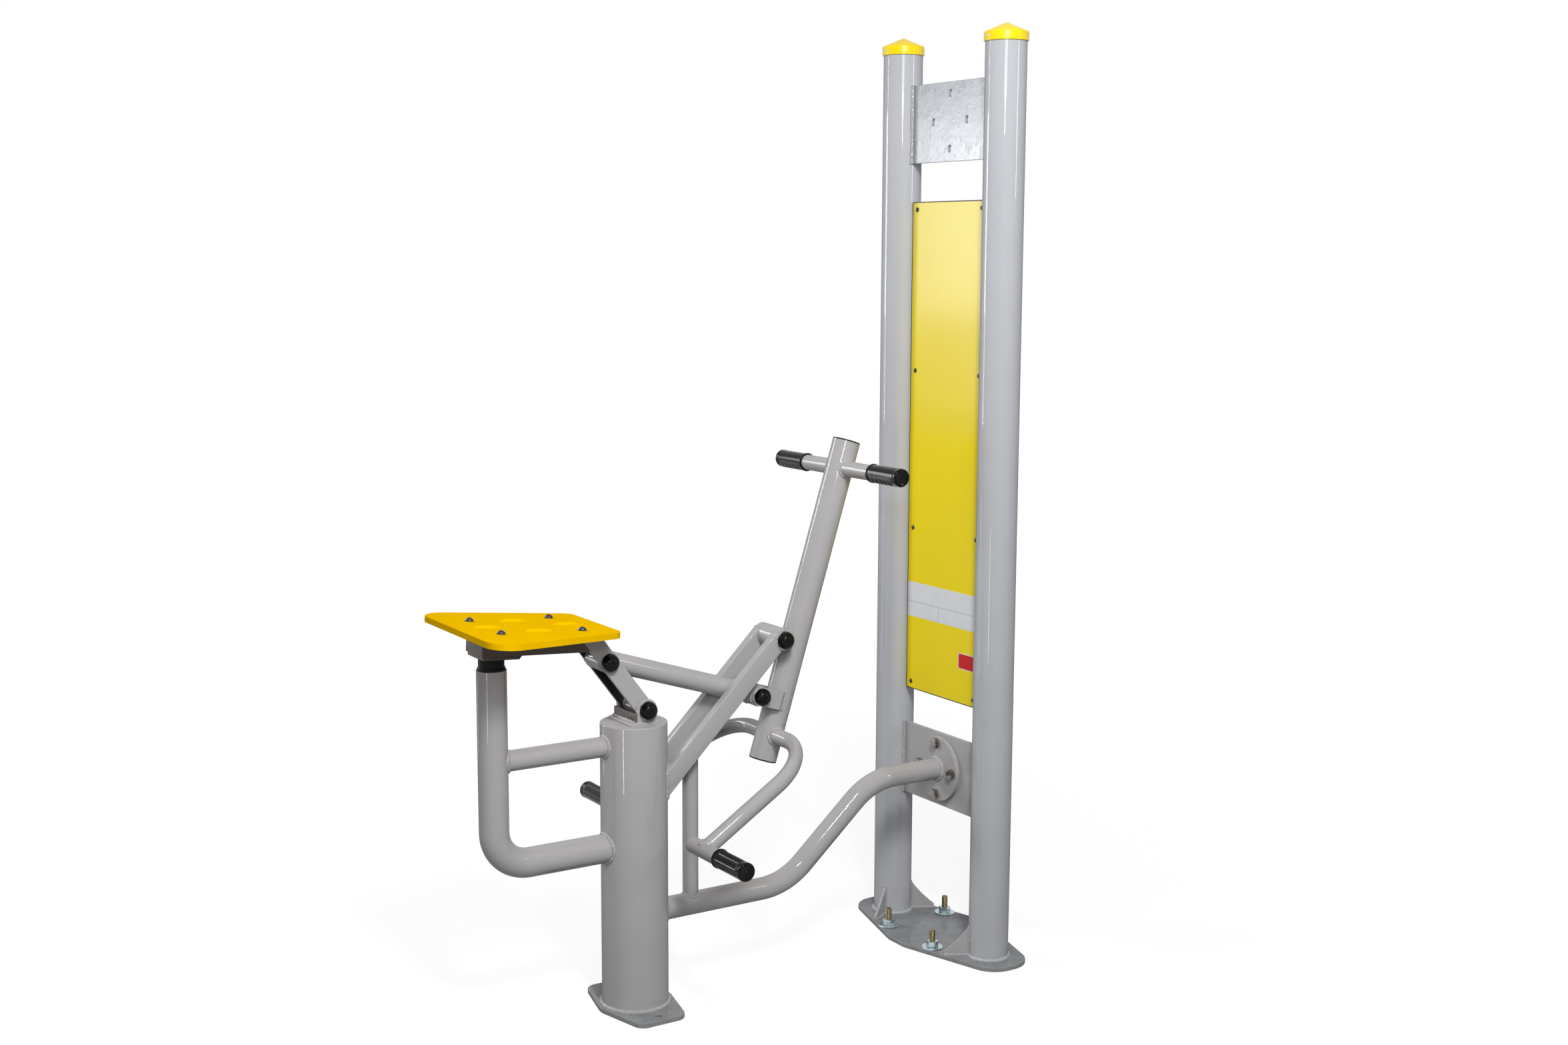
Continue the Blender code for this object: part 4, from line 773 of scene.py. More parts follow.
def rounded(corners, radii, steps=CORNER_STEPS):
    """A closed outline through corners, each rounded to its radius."""
    outline = []
    for k, corner in enumerate(corners):
        back = (corners[k - 1] - corner).normalized()
        ahead = (corners[(k + 1) % len(corners)] - corner).normalized()
        outline += arc(corner, back, ahead, radii[k], steps) if radii[k] else [corner]
    return outline


def on_floor(corners, radii, centre_x=0.0):
    """The rounded outline of a base plate."""
    return rounded([Vector((centre_x + x, y, 0)) for x, y in corners], radii)


def upright(x, across, up):
    """The corners of an upright rectangle between two distances to the left and two heights."""
    return [Vector((x, across[k], up[n])) for k, n in ((0, 0), (1, 0), (1, 1), (0, 1))]


def round_points(centre, first, second, reaches):
    """Points round a centre at given distances, from one direction toward a second."""
    angles = [2 * math.pi * k / len(reaches) for k in range(len(reaches))]
    return [centre + r * (math.cos(a) * first + math.sin(a) * second) for r, a in zip(reaches, angles)]


def square_to(axis, across=None):
    """Two directions that are square to an axis and to each other."""
    across = across or axis.orthogonal().normalized()
    return across.cross(axis).normalized(), across


def circle_points(centre, axis, radius, sides, across=None):
    return round_points(centre, *square_to(axis, across), [radius] * sides)


# Shapes


def solid(make, *values, **options):
    """A new mesh with one shape in it."""
    bm = bmesh.new()
    make(bm, *values, **options)
    return bm


def ring_of(bm, points):
    return [bm.verts.new(point) for point in points]


def skin(bm, ring, following):
    """Faces between two rings of one count, or between a ring and a single point."""
    for k in range(max(len(ring), len(following))):
        corners = [ring[k % len(ring)], ring[(k + 1) % len(ring)]]
        corners += [following[(k + 1) % len(following)], following[k % len(following)]]
        bm.faces.new(dict.fromkeys(corners))


def chain(bm, rings, closed=False):
    """Faces from ring to ring, and from the last to the first of a closed chain."""
    for first, second in zip(rings, rings[1:] + rings[:1] if closed else rings[1:]):
        skin(bm, first, second)


def loft(bm, rings, bores=()):
    """A closed body through the rings, hollow from end to end when it has rings for its bore."""
    chain(bm, rings)
    chain(bm, bores)
    for end in (0, -1):
        if bores:
            skin(bm, rings[end], bores[end])
        else:
            bm.faces.new(rings[end])


def directions(route):
    """The direction of a route at each of its points."""
    runs = [(b - a).normalized() for a, b in zip(route, route[1:])]
    return [runs[0]] + [(a + b).normalized() for a, b in zip(runs, runs[1:])] + [runs[-1]]


def flatten(route, rings, share):
    """Presses the outer side of every bend in by a share, as a tube bender does."""
    for k, ring in enumerate(rings[1:-1], 1):
        turn = (route[k + 1] - route[k]).normalized() - (route[k] - route[k - 1]).normalized()
        outward = -turn.normalized()
        press = share * math.sin(math.pi * ((k - 1) % (BEND_STEPS + 1)) / BEND_STEPS)
        for vert in ring:
            reach = (vert.co - route[k]).dot(outward)
            vert.co -= outward * max(reach, 0) * press


def tube(bm, route, across, radius, wall=0.0, flat_share=0.0):
    """A round tube, or a bar when it has no wall, along a route that lies square to one direction."""
    stations = list(zip(route, directions(route)))
    rings, bores = [
        [ring_of(bm, circle_points(at, way, size, SIDES_TUBE, across)) for at, way in stations if size]
        for size in (radius, wall and radius - wall)
    ]
    if flat_share:
        flatten(route, rings, flat_share)
    loft(bm, rings, bores)


def prism(bm, outline, sweep):
    """A flat outline drawn out along a vector."""
    loft(bm, [ring_of(bm, outline), ring_of(bm, [point + sweep for point in outline])])


def slab(bm, outline, low_y, high_y):
    """A plate square to Y, from an outline of (x, z) pairs."""
    prism(bm, [place(pair, low_y) for pair in outline], LEFT * (high_y - low_y))


def turned(bm, profile, base, axis, sides=SIDES_PIN, closed=False):
    """A body turned from (radius, height) pairs. A closed profile stays off the axis."""
    rings = []
    for radius, height in profile:
        centre = base + axis * height
        rings.append(ring_of(bm, circle_points(centre, axis, radius, sides) if radius else [centre]))
    chain(bm, rings, closed)


def pin(bm, centre, axis, low, high, radius, sides=SIDES_PIN):
    turned(bm, [(0, low), (radius, low), (radius, high), (0, high)], centre, axis, sides)


def pipe(bm, centre, axis, low, high, radius, bore, edge, sides=SIDES_PIN):
    """A straight sleeve along an axis, with a small chamfer on its outer edges."""
    profile = [(bore, low), (radius - edge, low), (radius, low + edge)]
    profile += [(radius, high - edge), (radius - edge, high), (bore, high)]
    turned(bm, profile, centre, axis, sides, closed=True)


def threaded(bm, centre, axis, low, high, radius, pitch):
    """A threaded end with a helical groove and a small point."""
    steps = round((high - low) / pitch * 4)
    rings = []
    for step in range(steps + 1):
        height = low + (high - low) * step / steps
        size = radius * (1 - THREAD_TAPER + THREAD_TAPER * min(1.0, (high - height) / pitch))
        phases = [(height / pitch - k / SIDES_THREAD) % 1 for k in range(SIDES_THREAD)]
        reaches = [size * (1 - THREAD_SHARE * abs(2 * phase - 1)) for phase in phases]
        rings.append(ring_of(bm, round_points(centre + axis * height, *square_to(axis), reaches)))
    loft(bm, rings)


def hex_block(bm, centre, axis, flats, low, high, both=False):
    """A hexagonal head, or a nut when both its ends are chamfered."""
    inner = flats / 2
    turns = [2 * math.pi * k / SIDES_HEX for k in range(SIDES_HEX)]
    corners = [inner / math.cos(turn % (math.pi / 3) - math.pi / 6) for turn in turns]
    end = [inner * HEX_END_SHARE] * SIDES_HEX

    def ring_at(height, reaches, tilt=0.0):
        points = round_points(centre + axis * height, *square_to(axis), reaches)
        return ring_of(bm, [point - axis * (r - inner) * tilt for point, r in zip(points, reaches)])

    rings = [ring_at(low, end)] if both else []
    rings += [ring_at(low, corners, -HEX_CHAMFER_TILT if both else 0.0)]
    loft(bm, rings + [ring_at(high, corners, HEX_CHAMFER_TILT), ring_at(high, end)])


def button_head(bm, centre, axis, radius, height, socket):
    """A low round head with a socket."""
    angles = [math.pi / 2 * k / HEAD_STEPS for k in range(HEAD_STEPS + 1)]
    profile = [(radius * math.cos(a), height * math.sin(a)) for a in angles]
    profile = [(0, -TOUCH), (radius, -TOUCH)] + [pair for pair in profile if pair[0] > socket]
    profile.append((socket, height * math.sin(math.acos(socket / radius))))
    floor_height = height * SOCKET_FLOOR_SHARE
    profile += [(socket * SOCKET_TAPER_SHARE, floor_height), (0, floor_height)]
    turned(bm, profile, centre, axis, SIDES_HEAD)


# Weld beads


def spaced(path, step):
    """The points of a path at an even spacing."""
    lengths = [0.0]
    for a, b in zip(path, path[1:]):
        lengths.append(lengths[-1] + (b - a).length)
    count = max(2, round(lengths[-1] / step))
    spread = []
    at = 0
    for k in range(count + 1):
        wanted = lengths[-1] * k / count
        while at < len(path) - 2 and lengths[at + 1] < wanted:
            at += 1
        run = lengths[at + 1] - lengths[at]
        share = (wanted - lengths[at]) / run if run else 0.0
        spread.append(path[at].lerp(path[at + 1], share))
    return spread


def eased(share):
    return share * share * (3 - 2 * share)


def swellings(count, closed):
    """Smooth random swellings for the steps of a weld bead."""
    spans = max(2, round(count * BEAD_STEP / BEAD_LUMP))
    heights = [UNEVEN.uniform(-1, 1) for _ in range(spans + 1)]
    if closed:
        heights[-1] = heights[0]
    swell = []
    for k in range(count):
        at = spans * k / count
        low, high = heights[int(at)], heights[int(at) + 1]
        swell.append(low + (high - low) * eased(at % 1))
    return swell


def bead(bm, line, radius=BEAD_R, out=None):
    """A lumpy weld bead round a closed line, or along an open one whose corner faces a direction."""
    closed = out is None
    path = spaced(line + line[:1] if closed else line, BEAD_STEP)
    if closed:
        path.pop()
    middle = sum(path, Vector()) / len(path)
    swell = swellings(len(path), closed)
    rings = []
    for k, at in enumerate(path):
        before = path[k - 1] if closed or k else at
        after = path[(k + 1) % len(path)] if closed or k < len(path) - 1 else at
        way = (after - before).normalized()
        side = out or at - middle
        side = (side - way * side.dot(way)).normalized()
        ripple = BEAD_RIPPLE_SHARE * math.sin(2 * math.pi * k * BEAD_STEP / BEAD_PITCH)
        size = radius * (1 + ripple + BEAD_LUMP_SHARE * swell[k] + BEAD_UNEVEN_SHARE * UNEVEN.uniform(-1, 1))
        rings.append(ring_of(bm, round_points(at, side, way.cross(side), [size] * BEAD_SIDES)))
    if closed:
        chain(bm, rings, closed)
    else:
        loft(bm, rings)


def landing(points, way, centre, axis, radius):
    """Where straight lines from some points meet a round bar."""
    across = way - axis * way.dot(axis)
    landed = []
    for point in points:
        apart = point - centre
        apart -= axis * apart.dot(axis)
        half = apart.dot(across)
        inside = half * half - across.length_squared * (apart.length_squared - radius * radius)
        distance = (-half - math.sqrt(max(0.0, inside))) / across.length_squared
        landed.append(point + way * distance)
    return landed


def saddle(bm, start, way, tube_radius, centre, axis, radius, size=BEAD_R):
    """The weld bead where a round tube meets a round bar."""
    points = circle_points(start, way, tube_radius, SIDES_TUBE)
    bead(bm, landing(points, way, centre, axis, radius), size)


# Seat post and what is welded to it


def foot_plate():
    corners = [(FOOT_HALF_X, 0), (FOOT_END_X, FOOT_END_Y), (-FOOT_END_X, FOOT_END_Y)]
    corners += [(-x, -y) for x, y in corners]
    radii = [FOOT_SIDE_ROUND, FOOT_END_ROUND, FOOT_END_ROUND] * 2
    bm = solid(prism, on_floor(corners, radii), UP * FOOT_T)
    holes = bmesh.new()
    for side in (1, -1):
        pin(holes, LEFT * side * FOOT_HOLE_Y, UP, -OVERRUN, FOOT_T + OVERRUN, FOOT_HOLE_R)
    soften(cut(piece("foot_plate", bm, "post_base_plate", look="darker_foot_paint"), holes))


def seat_post():
    """The post with its rounded top, the pad, and the bead at its foot."""
    profile = [(0, FOOT_T), (POST_R, FOOT_T), *quarter(POST_R, POST_TOP, POST_EDGE), (0, POST_TOP)]
    bm = solid(turned, profile, ORIGIN, UP, SIDES_WIDE)
    bead(bm, circle_points(UP * (FOOT_T + MELT), UP, POST_R + MELT, SIDES_WIDE), BEAD_FOOT_R)
    piece("seat_post", bm, "main_post", "post_top_plate")
    outline = [Vector((x * PAD_HALF_X, y * PAD_HALF_Y, POST_TOP - MELT)) for x, y in SQUARE]
    soften(piece("bracket_pad", solid(prism, outline, UP * (PAD_T + MELT))))


def pivot_ears():
    """Two ears and the web behind them, with the beads along the bracket's foot."""
    x = SEAT_PIVOT[0]
    ear = half_round(SEAT_PIVOT, EAR_ROUND, 0) + [(x - EAR_ROUND, PAD_TOP), (x + EAR_ROUND, PAD_TOP)]
    bm = solid(slab, ear, EAR_INNER_Y, EAR_OUTER_Y)
    slab(bm, ear, -EAR_OUTER_Y, -EAR_INNER_Y)
    soften(piece("pivot_ears", bm, "seat_pivot_bracket"), WELDED_EDGE)
    front, back = x - EAR_ROUND + MELT, x - WEB_BEHIND - EAR_T / 2
    top = over_x(along(SEAT_PIVOT, BAR_AHEAD, -LINK_BAR_R - WEB_CLEAR), BAR_ALONG, front)[1]
    web = [(back, PAD_TOP), (front, PAD_TOP), (front, top), (back, top)]
    rear = solid(slab, web, -EAR_OUTER_Y, EAR_OUTER_Y)
    # The web has the darker coat: painted shade behind the ears.
    soften(piece("pivot_web", rear, look="shaded_paint"), WELDED_EDGE)
    foot = [place(web[0], side * (EAR_OUTER_Y - MELT)) for side in (-1, 1)]
    welds = solid(bead, foot, BEAD_FOOT_R, -FORWARD)
    for side in (1, -1):
        line = [place(corner, side * EAR_OUTER_Y) for corner in (web[0], ear[-1])]
        bead(welds, line, BEAD_THIN_R, LEFT * side)
    piece("pivot_ear_welds", welds)


def rear_tubes():
    top, corner = (place((BUMPER_TUBE_X, z)) for z in (BUMPER_TUBE_TOP, BUMPER_LEG_Z))
    route = bent([top, corner, place((-POST_R / 2, BUMPER_LEG_Z))], BUMPER_BEND)
    bm = solid(tube, route, LEFT, BUMPER_TUBE_R, BUMPER_TUBE_WALL)
    saddle(bm, corner, FORWARD, BUMPER_TUBE_R, ORIGIN, UP, POST_R)
    soften(piece("bumper_tube", bm, "rear_bumper_tube"), THIN_EDGE)
    start, end = (place((x, CROSS_TUBE_Z)) for x in (BUMPER_TUBE_X, -POST_R / 2))
    cross = solid(tube, [start, end], LEFT, CROSS_TUBE_R)
    saddle(cross, start, FORWARD, CROSS_TUBE_R, ORIGIN, UP, POST_R)
    saddle(cross, end, -FORWARD, CROSS_TUBE_R, top, UP, BUMPER_TUBE_R)
    piece("cross_tube", cross, "rear_cross_tube")


def bumper():
    """The rubber buffer, waisted above its flared foot, cut parallel to the stop plate above."""
    rim = BUMPER_TUBE_TOP - BUMPER_TUBE_WALL
    foot = BUMPER_TUBE_TOP + TOUCH * 4
    top = STOP_UNDER[1]
    profile = [(0, rim), (RUBBER_FLARE_R - TOUCH, rim), (RUBBER_FLARE_R, foot)]
    for share in [k / RUBBER_STEPS for k in range(1, RUBBER_STEPS + 1)]:
        radius = RUBBER_FLARE_R + (RUBBER_R - RUBBER_FLARE_R) * eased(share)
        profile.append((radius, foot + RUBBER_FLARE_H * share))
    profile += [(RUBBER_R, top - 2 * RUBBER_EDGE), (RUBBER_R - RUBBER_EDGE, top), (0, top)]
    bm = solid(turned, profile, FORWARD * BUMPER_TUBE_X, UP, SIDES_TUBE)
    for vert in bm.verts:
        if vert.co.z > top - 3 * RUBBER_EDGE:
            vert.co.z += over_x(STOP_UNDER, SEAT_ALONG, vert.co.x)[1] - TOUCH - top
    piece("rubber_buffer", bm, "rubber_bumper", slot="black_rubber")


def arm_line(depth):
    """The (x, z) pair on the arms' slope where it passes the post's axis, at a depth below the upper face."""
    return along(over_x((ARM_TOP_X, ARM_TOP_Z), ARM_ALONG, 0), ARM_DOWN, depth)


def support_arm(side, label):
    """A rectangular tube with rounded corners, its end collar and the beads at both ends."""
    start = arm_line(ARM_DEPTH / 2)
    way = place(ARM_ALONG)
    pivot_at = place(LEVER_PIVOT)
    reach = (pivot_at - place(start)).dot(way)
    middle = side * (ARM_INNER_Y + ARM_WIDTH / 2)
    corners = []
    for across, down in ((1, 1), (1, -1), (-1, -1), (-1, 1)):
        pair = along(start, ARM_DOWN, down * ARM_DEPTH / 2)
        corners.append(place(pair, middle + across * ARM_WIDTH / 2))
    outline = rounded(corners, [ARM_ROUND] * 4, ARM_CORNER_STEPS)
    bm = solid(prism, outline, way * reach)
    bead(bm, landing([point + way * reach for point in outline], -way, ORIGIN, UP, POST_R))
    low, high = sorted((side * COLLAR_INNER_Y, side * COLLAR_OUTER_Y))
    pipe(bm, pivot_at, LEFT, low, high, COLLAR_R, AXLE_R, COLLAR_EDGE, SIDES_TUBE)
    faces = [point for point in outline if abs(point.y - middle) < ARM_WIDTH / 2 - ARM_ROUND / 2]
    half = len(faces) // 2
    for chosen in (faces[:half], faces[half:]):
        ends = landing([chosen[0], chosen[-1]], way, pivot_at, LEFT, COLLAR_R)
        bead(bm, ends, BEAD_THIN_R, -way)
    piece(f"{label}_arm", bm, f"{label}_support_arm")


def brace():
    """The upright under the arms and the plate that closes the gap between them."""
    low, high = (place((BRACE_X, z)) for z in (LINK_LOW_Z, ARM_TOP_Z))
    bm = solid(tube, [low, high], LEFT, BRACE_R)
    for vert in bm.verts:
        if vert.co.z > (LINK_LOW_Z + ARM_TOP_Z) / 2:
            vert.co.z = over_x(arm_line(ARM_DEPTH - BRACE_PLATE_T / 2), ARM_ALONG, vert.co.x)[1]
    saddle(bm, high, -UP, BRACE_R, low, FORWARD, LINK_TUBE_R, BEAD_THIN_R)
    piece("brace_tube", bm, "arm_brace")
    centre = over_x(arm_line(ARM_DEPTH - BRACE_PLATE_T), ARM_ALONG, BRACE_X)
    ends = [along(centre, ARM_ALONG, half * BRACE_PLATE_L / 2) for half in (-1, 1)]
    outline = ends + [along(end, ARM_DOWN, BRACE_PLATE_T) for end in reversed(ends)]
    soften(piece("brace_plate", solid(slab, outline, -ARM_INNER_Y, ARM_INNER_Y)), THIN_EDGE)


def link_tube():
    corners = [(POST_R / 2, LINK_LOW_Z), (LINK_LOW_BEND_X, LINK_LOW_Z)]
    corners += [(LINK_HIGH_BEND_X, LINK_HIGH_Z), (FLANGE_FRONT, LINK_HIGH_Z)]
    route = [place(corner) for corner in corners]
    bm = solid(tube, bent(route, LINK_BEND), LEFT, LINK_TUBE_R)
    saddle(bm, route[1], -FORWARD, LINK_TUBE_R, ORIGIN, UP, POST_R)
    bead(bm, circle_points(route[-1], FORWARD, LINK_TUBE_R + MELT, SIDES_TUBE), BEAD_WIDE_R)
    piece("link_tube", bm, "connecting_tube")


# Flange and its bolts


def flange():
    bm = solid(pin, UP * LINK_HIGH_Z, FORWARD, FLANGE_FRONT, FLANGE_BACK, FLANGE_R, SIDES_WIDE)
    soften(piece("tube_flange", bm, "mounting_flange"))
    for number, turn in enumerate(QUARTER_TURNS, 1):
        y, z = BOLT_CIRCLE_R * math.sin(turn), LINK_HIGH_Z + BOLT_CIRCLE_R * math.cos(turn)
        flange_bolt(number, Vector((0, y, z)))


def flange_bolt(number, centre):
    """Head and washer in front, washer, nut and thread behind."""
    head = FLANGE_FRONT - TOUCH - BOLT_WASHER_T
    back = BRACKET_X + BRACKET_T / 2 + TOUCH
    nut = back + BOLT_WASHER_T
    bm = bmesh.new()
    for low in (head, back):
        pipe(bm, centre, FORWARD, low, low + BOLT_WASHER_T, BOLT_WASHER_R, BOLT_R, WASHER_EDGE)
    hex_block(bm, centre, -FORWARD, BOLT_FLATS, -head, BOLT_HEAD_H - head)
    hex_block(bm, centre, FORWARD, BOLT_FLATS, nut, nut + BOLT_NUT_H, both=True)
    threaded(bm, centre, FORWARD, nut, nut + BOLT_NUT_H + BOLT_TIP, BOLT_R, BOLT_PITCH)
    piece(f"flange_hex_bolt_{number}", bm, f"flange_bolt_{number}", slot="stainless")


# Pylon


def plinth():
    corners = [(PLINTH_HALF_X, PLINTH_SHOULDER_Y), (PLINTH_END_X, PLINTH_END_Y)]
    corners += [(-x, y) for x, y in reversed(corners)]
    corners += [(-x, -y) for x, y in corners]
    radii = [PLINTH_SHOULDER_ROUND, PLINTH_END_ROUND, PLINTH_END_ROUND, PLINTH_SHOULDER_ROUND] * 2
    bm = solid(prism, on_floor(corners, radii, PYLON_X), UP * PLINTH_T)
    soften(piece("plinth", bm, "pylon_base_plate", look="darker_foot_paint"), PLATE_EDGE * 1.5)


def anchor(number, centre):
    low = PLINTH_T + TOUCH
    top = low + ANCHOR_WASHER_T
    nut = solid(pipe, centre, UP, low, top, ANCHOR_WASHER_R, ANCHOR_R, ANCHOR_WASHER_EDGE)
    hex_block(nut, centre, UP, ANCHOR_FLATS, top, top + ANCHOR_NUT_H, both=True)
    piece(f"anchor_nut_{number}", nut, slot="zinc_plated", look="blue_zinc")
    stud = solid(threaded, centre, UP, low, ANCHOR_TOP, ANCHOR_R, ANCHOR_PITCH)
    piece(f"anchor_thread_{number}", stud, f"anchor_stud_{number}", slot="zinc_plated")


def gussets(bm, foot, side):
    """Two plates that brace a pylon post, with slightly hollow outer edges and thin beads."""
    root = PYLON_POST_R - BEAD_R
    slope = [(GUSSET_REACH, PLINTH_T)]
    for share in [k / GUSSET_STEPS for k in range(GUSSET_STEPS + 1)]:
        sag = GUSSET_SAG * math.sin(math.pi * share)
        up = PLINTH_T + GUSSET_TOE + (GUSSET_H - GUSSET_TOE) * share
        slope.append((GUSSET_REACH + (PYLON_POST_R - GUSSET_REACH) * share - sag, up - sag))
    slope += [(root, PLINTH_T + GUSSET_H), (root, PLINTH_T)]
    for ahead in (1, -1):
        outward = Vector((ahead * math.cos(GUSSET_ANGLE), -side * math.sin(GUSSET_ANGLE), 0))
        across = UP.cross(outward)
        corner = foot - across * GUSSET_T / 2
        prism(bm, [corner + outward * out + UP * up for out, up in slope], across * GUSSET_T)
        for face in (1, -1):
            edge = foot + across * face * GUSSET_T / 2 + UP * PLINTH_T
            inner = edge + outward * PYLON_POST_R
            for end in (edge + outward * GUSSET_REACH, inner + UP * GUSSET_H):
                bead(bm, [inner, end], BEAD_THIN_R, across * face)


def pylon_post(side, label):
    """A post, its gussets and board tabs, its moulded cap with a soft tip, and the cap's small screw."""
    foot = Vector((PYLON_X, side * PYLON_POST_Y, 0))
    bm = solid(pin, foot, UP, PLINTH_T, PYLON_POST_TOP, PYLON_POST_R, SIDES_WIDE)
    bead(bm, circle_points(foot + UP * PLINTH_T, UP, PYLON_POST_R + MELT, SIDES_WIDE), BEAD_R)
    # The post has the paler, bluer coat: painted light.
    piece(f"{label}_round_post", bm, f"{label}_pylon_post", look="painted_light_post_paint")
    plates = solid(gussets, foot, side)
    tab = [side * (BOARD_SCREW_Y - TAB_PAST_SCREW), side * (PYLON_POST_Y - PYLON_POST_R + BEAD_R)]
    for z in SCREW_HEIGHTS:
        outline = upright(BOARD_X + BOARD_T + TOUCH, tab, (z - TAB_H / 2, z + TAB_H / 2))
        prism(plates, outline, FORWARD * TAB_T)
    soften(piece(f"{label}_post_plates", plates), THIN_EDGE * 1.6)
    low = PYLON_POST_TOP - POST_CAP_LAP
    top = low + POST_CAP_RIM_H
    apex = top + POST_CAP_APEX_H
    rim = POST_CAP_RIM_R
    profile = [(radius, apex - deep) for radius, deep in POST_CAP_TIP]
    profile += [(rim - inset, top - deep) for inset, deep in POST_CAP_SHOULDER]
    profile += [(rim, low + POST_CAP_EDGE), (rim - POST_CAP_EDGE, low)]
    profile += [(PYLON_POST_R, low), (PYLON_POST_R, top), (0, top)]
    cap = solid(turned, profile, foot, UP, SIDES_WIDE)
    piece(f"{label}_cone_cap", cap, f"{label}_post_cap", slot="yellow_cap")
    outward = Vector((math.cos(CAP_SCREW_TURN), math.sin(CAP_SCREW_TURN), 0))
    spot = foot + UP * (low + POST_CAP_RIM_H / 2) + outward * rim
    screw = solid(button_head, spot, outward, CAP_SCREW_R, CAP_SCREW_H, CAP_SCREW_SOCKET_R)
    piece(f"{label}_cap_screw", screw, slot="stainless", look="blue_zinc")


def bracket(label, low, height, slot, size, cutter=None):
    """A plate between the pylon's posts, with upright beads in front and behind."""
    half = PYLON_POST_Y - PYLON_POST_R
    outline = upright(BRACKET_X - BRACKET_T / 2, (-half, half), (low, low + height))
    bm = solid(prism, outline, FORWARD * BRACKET_T)
    plate = piece(f"{label}_plate", bm, f"{label}_bracket_plate", slot=slot)
    soften(cut(plate, cutter) if cutter else plate)
    welds = bmesh.new()
    for side, face in ((1, 1), (1, -1), (-1, 1), (-1, -1)):
        x = BRACKET_X + face * BRACKET_T / 2
        y = side * (PYLON_POST_Y - math.sqrt(PYLON_POST_R ** 2 - (x - PYLON_X) ** 2))
        bead(welds, [Vector((x, y, low)), Vector((x, y, low + height))], size, FORWARD * face)
    piece(f"{label}_plate_welds", welds)


def slots(bm):
    """Four upright slots on a circle."""
    for turn in QUARTER_TURNS:
        y, z = SLOT_CIRCLE_R * math.sin(turn), SLOT_CENTRE_Z + SLOT_CIRCLE_R * math.cos(turn)
        outline = half_round((y, z + SLOT_STRAIGHT / 2), SLOT_R, 0, steps=SLOT_STEPS)
        outline += half_round((y, z - SLOT_STRAIGHT / 2), SLOT_R, math.pi, steps=SLOT_STEPS)
        front = BRACKET_X - BRACKET_T / 2 - OVERRUN
        points = [Vector((front, across, up)) for across, up in outline]
        prism(bm, points, FORWARD * (BRACKET_T + 2 * OVERRUN))


def board():
    """The board with a dark core at its cut edge, its eight screws and its plain printed fields."""
    corners = upright(BOARD_X, (-BOARD_HALF_Y, BOARD_HALF_Y), (BOARD_LOW, BOARD_TOP))
    bm = solid(prism, rounded(corners, [BOARD_ROUND] * 4), FORWARD * BOARD_T)
    mark(bm, lambda normal: normal.x <= 0.5)
    panel = piece("board_panel", bm, "instruction_board", slot="yellow_board")
    panel.data.materials.append(LOOKS["board_core"])
    screws = bmesh.new()
    for height in SCREW_HEIGHTS:
        for side in (1, -1):
            spot = Vector((BOARD_X, side * BOARD_SCREW_Y, height))
            button_head(screws, spot, -FORWARD, SCREW_R, SCREW_H, SCREW_SOCKET_R)
    # The screws take the darkened steel: a painted dark reflection.
    piece("board_screws", screws, slot="stainless", look="dark_reflection_steel")
    half = BOARD_HALF_Y - BOARD_BORDER
    ground = (BOARD_LOW + BOARD_BORDER, BOARD_TOP - BOARD_BORDER)
    field("ground", "yellow_board", (-half, half), ground, GROUND_PROUD, BOARD_BORDER)
    field("white_field", "white_print", (-half, half), WHITE_FIELD)
    for number, (across, up) in enumerate(FIELD_LINES, 1):
        field(f"field_line_{number}", "line_print", across, up, LINE_PROUD)
    rim = [(low - RED_RIM, high + RED_RIM) for low, high in (RED_FIELD_Y, RED_FIELD_Z)]
    field("red_rim", "white_print", *rim, corner=BOARD_ROUND + RED_RIM)
    field("red_field", "red_print", RED_FIELD_Y, RED_FIELD_Z, LINE_PROUD, BOARD_ROUND)


def field(name, look, across, up, proud=PRINT_PROUD, corner=0.0):
    """One plain printed field of the board, between two distances to the left and two heights."""
    outline = rounded(upright(BOARD_X - proud, across, up), [corner] * 4)
    bm = solid(prism, outline, FORWARD * (proud + PRINT_PROUD))
    piece(f"board_{name}", bm, slot="yellow_board", look=look)


# Seat arm


def seat_point(ahead, below):
    """The (x, z) pair at a distance ahead of the seat's middle and below its upper face."""
    return along(along(SEAT_MID, SEAT_ALONG, ahead), SEAT_UP, -below)


def on_seat(x, y, above=0.0):
    """The place on the seat's upper face over an x and a y."""
    return place(seat_point((x - SEAT_MID[0]) / SEAT_ALONG[0], -above), y)


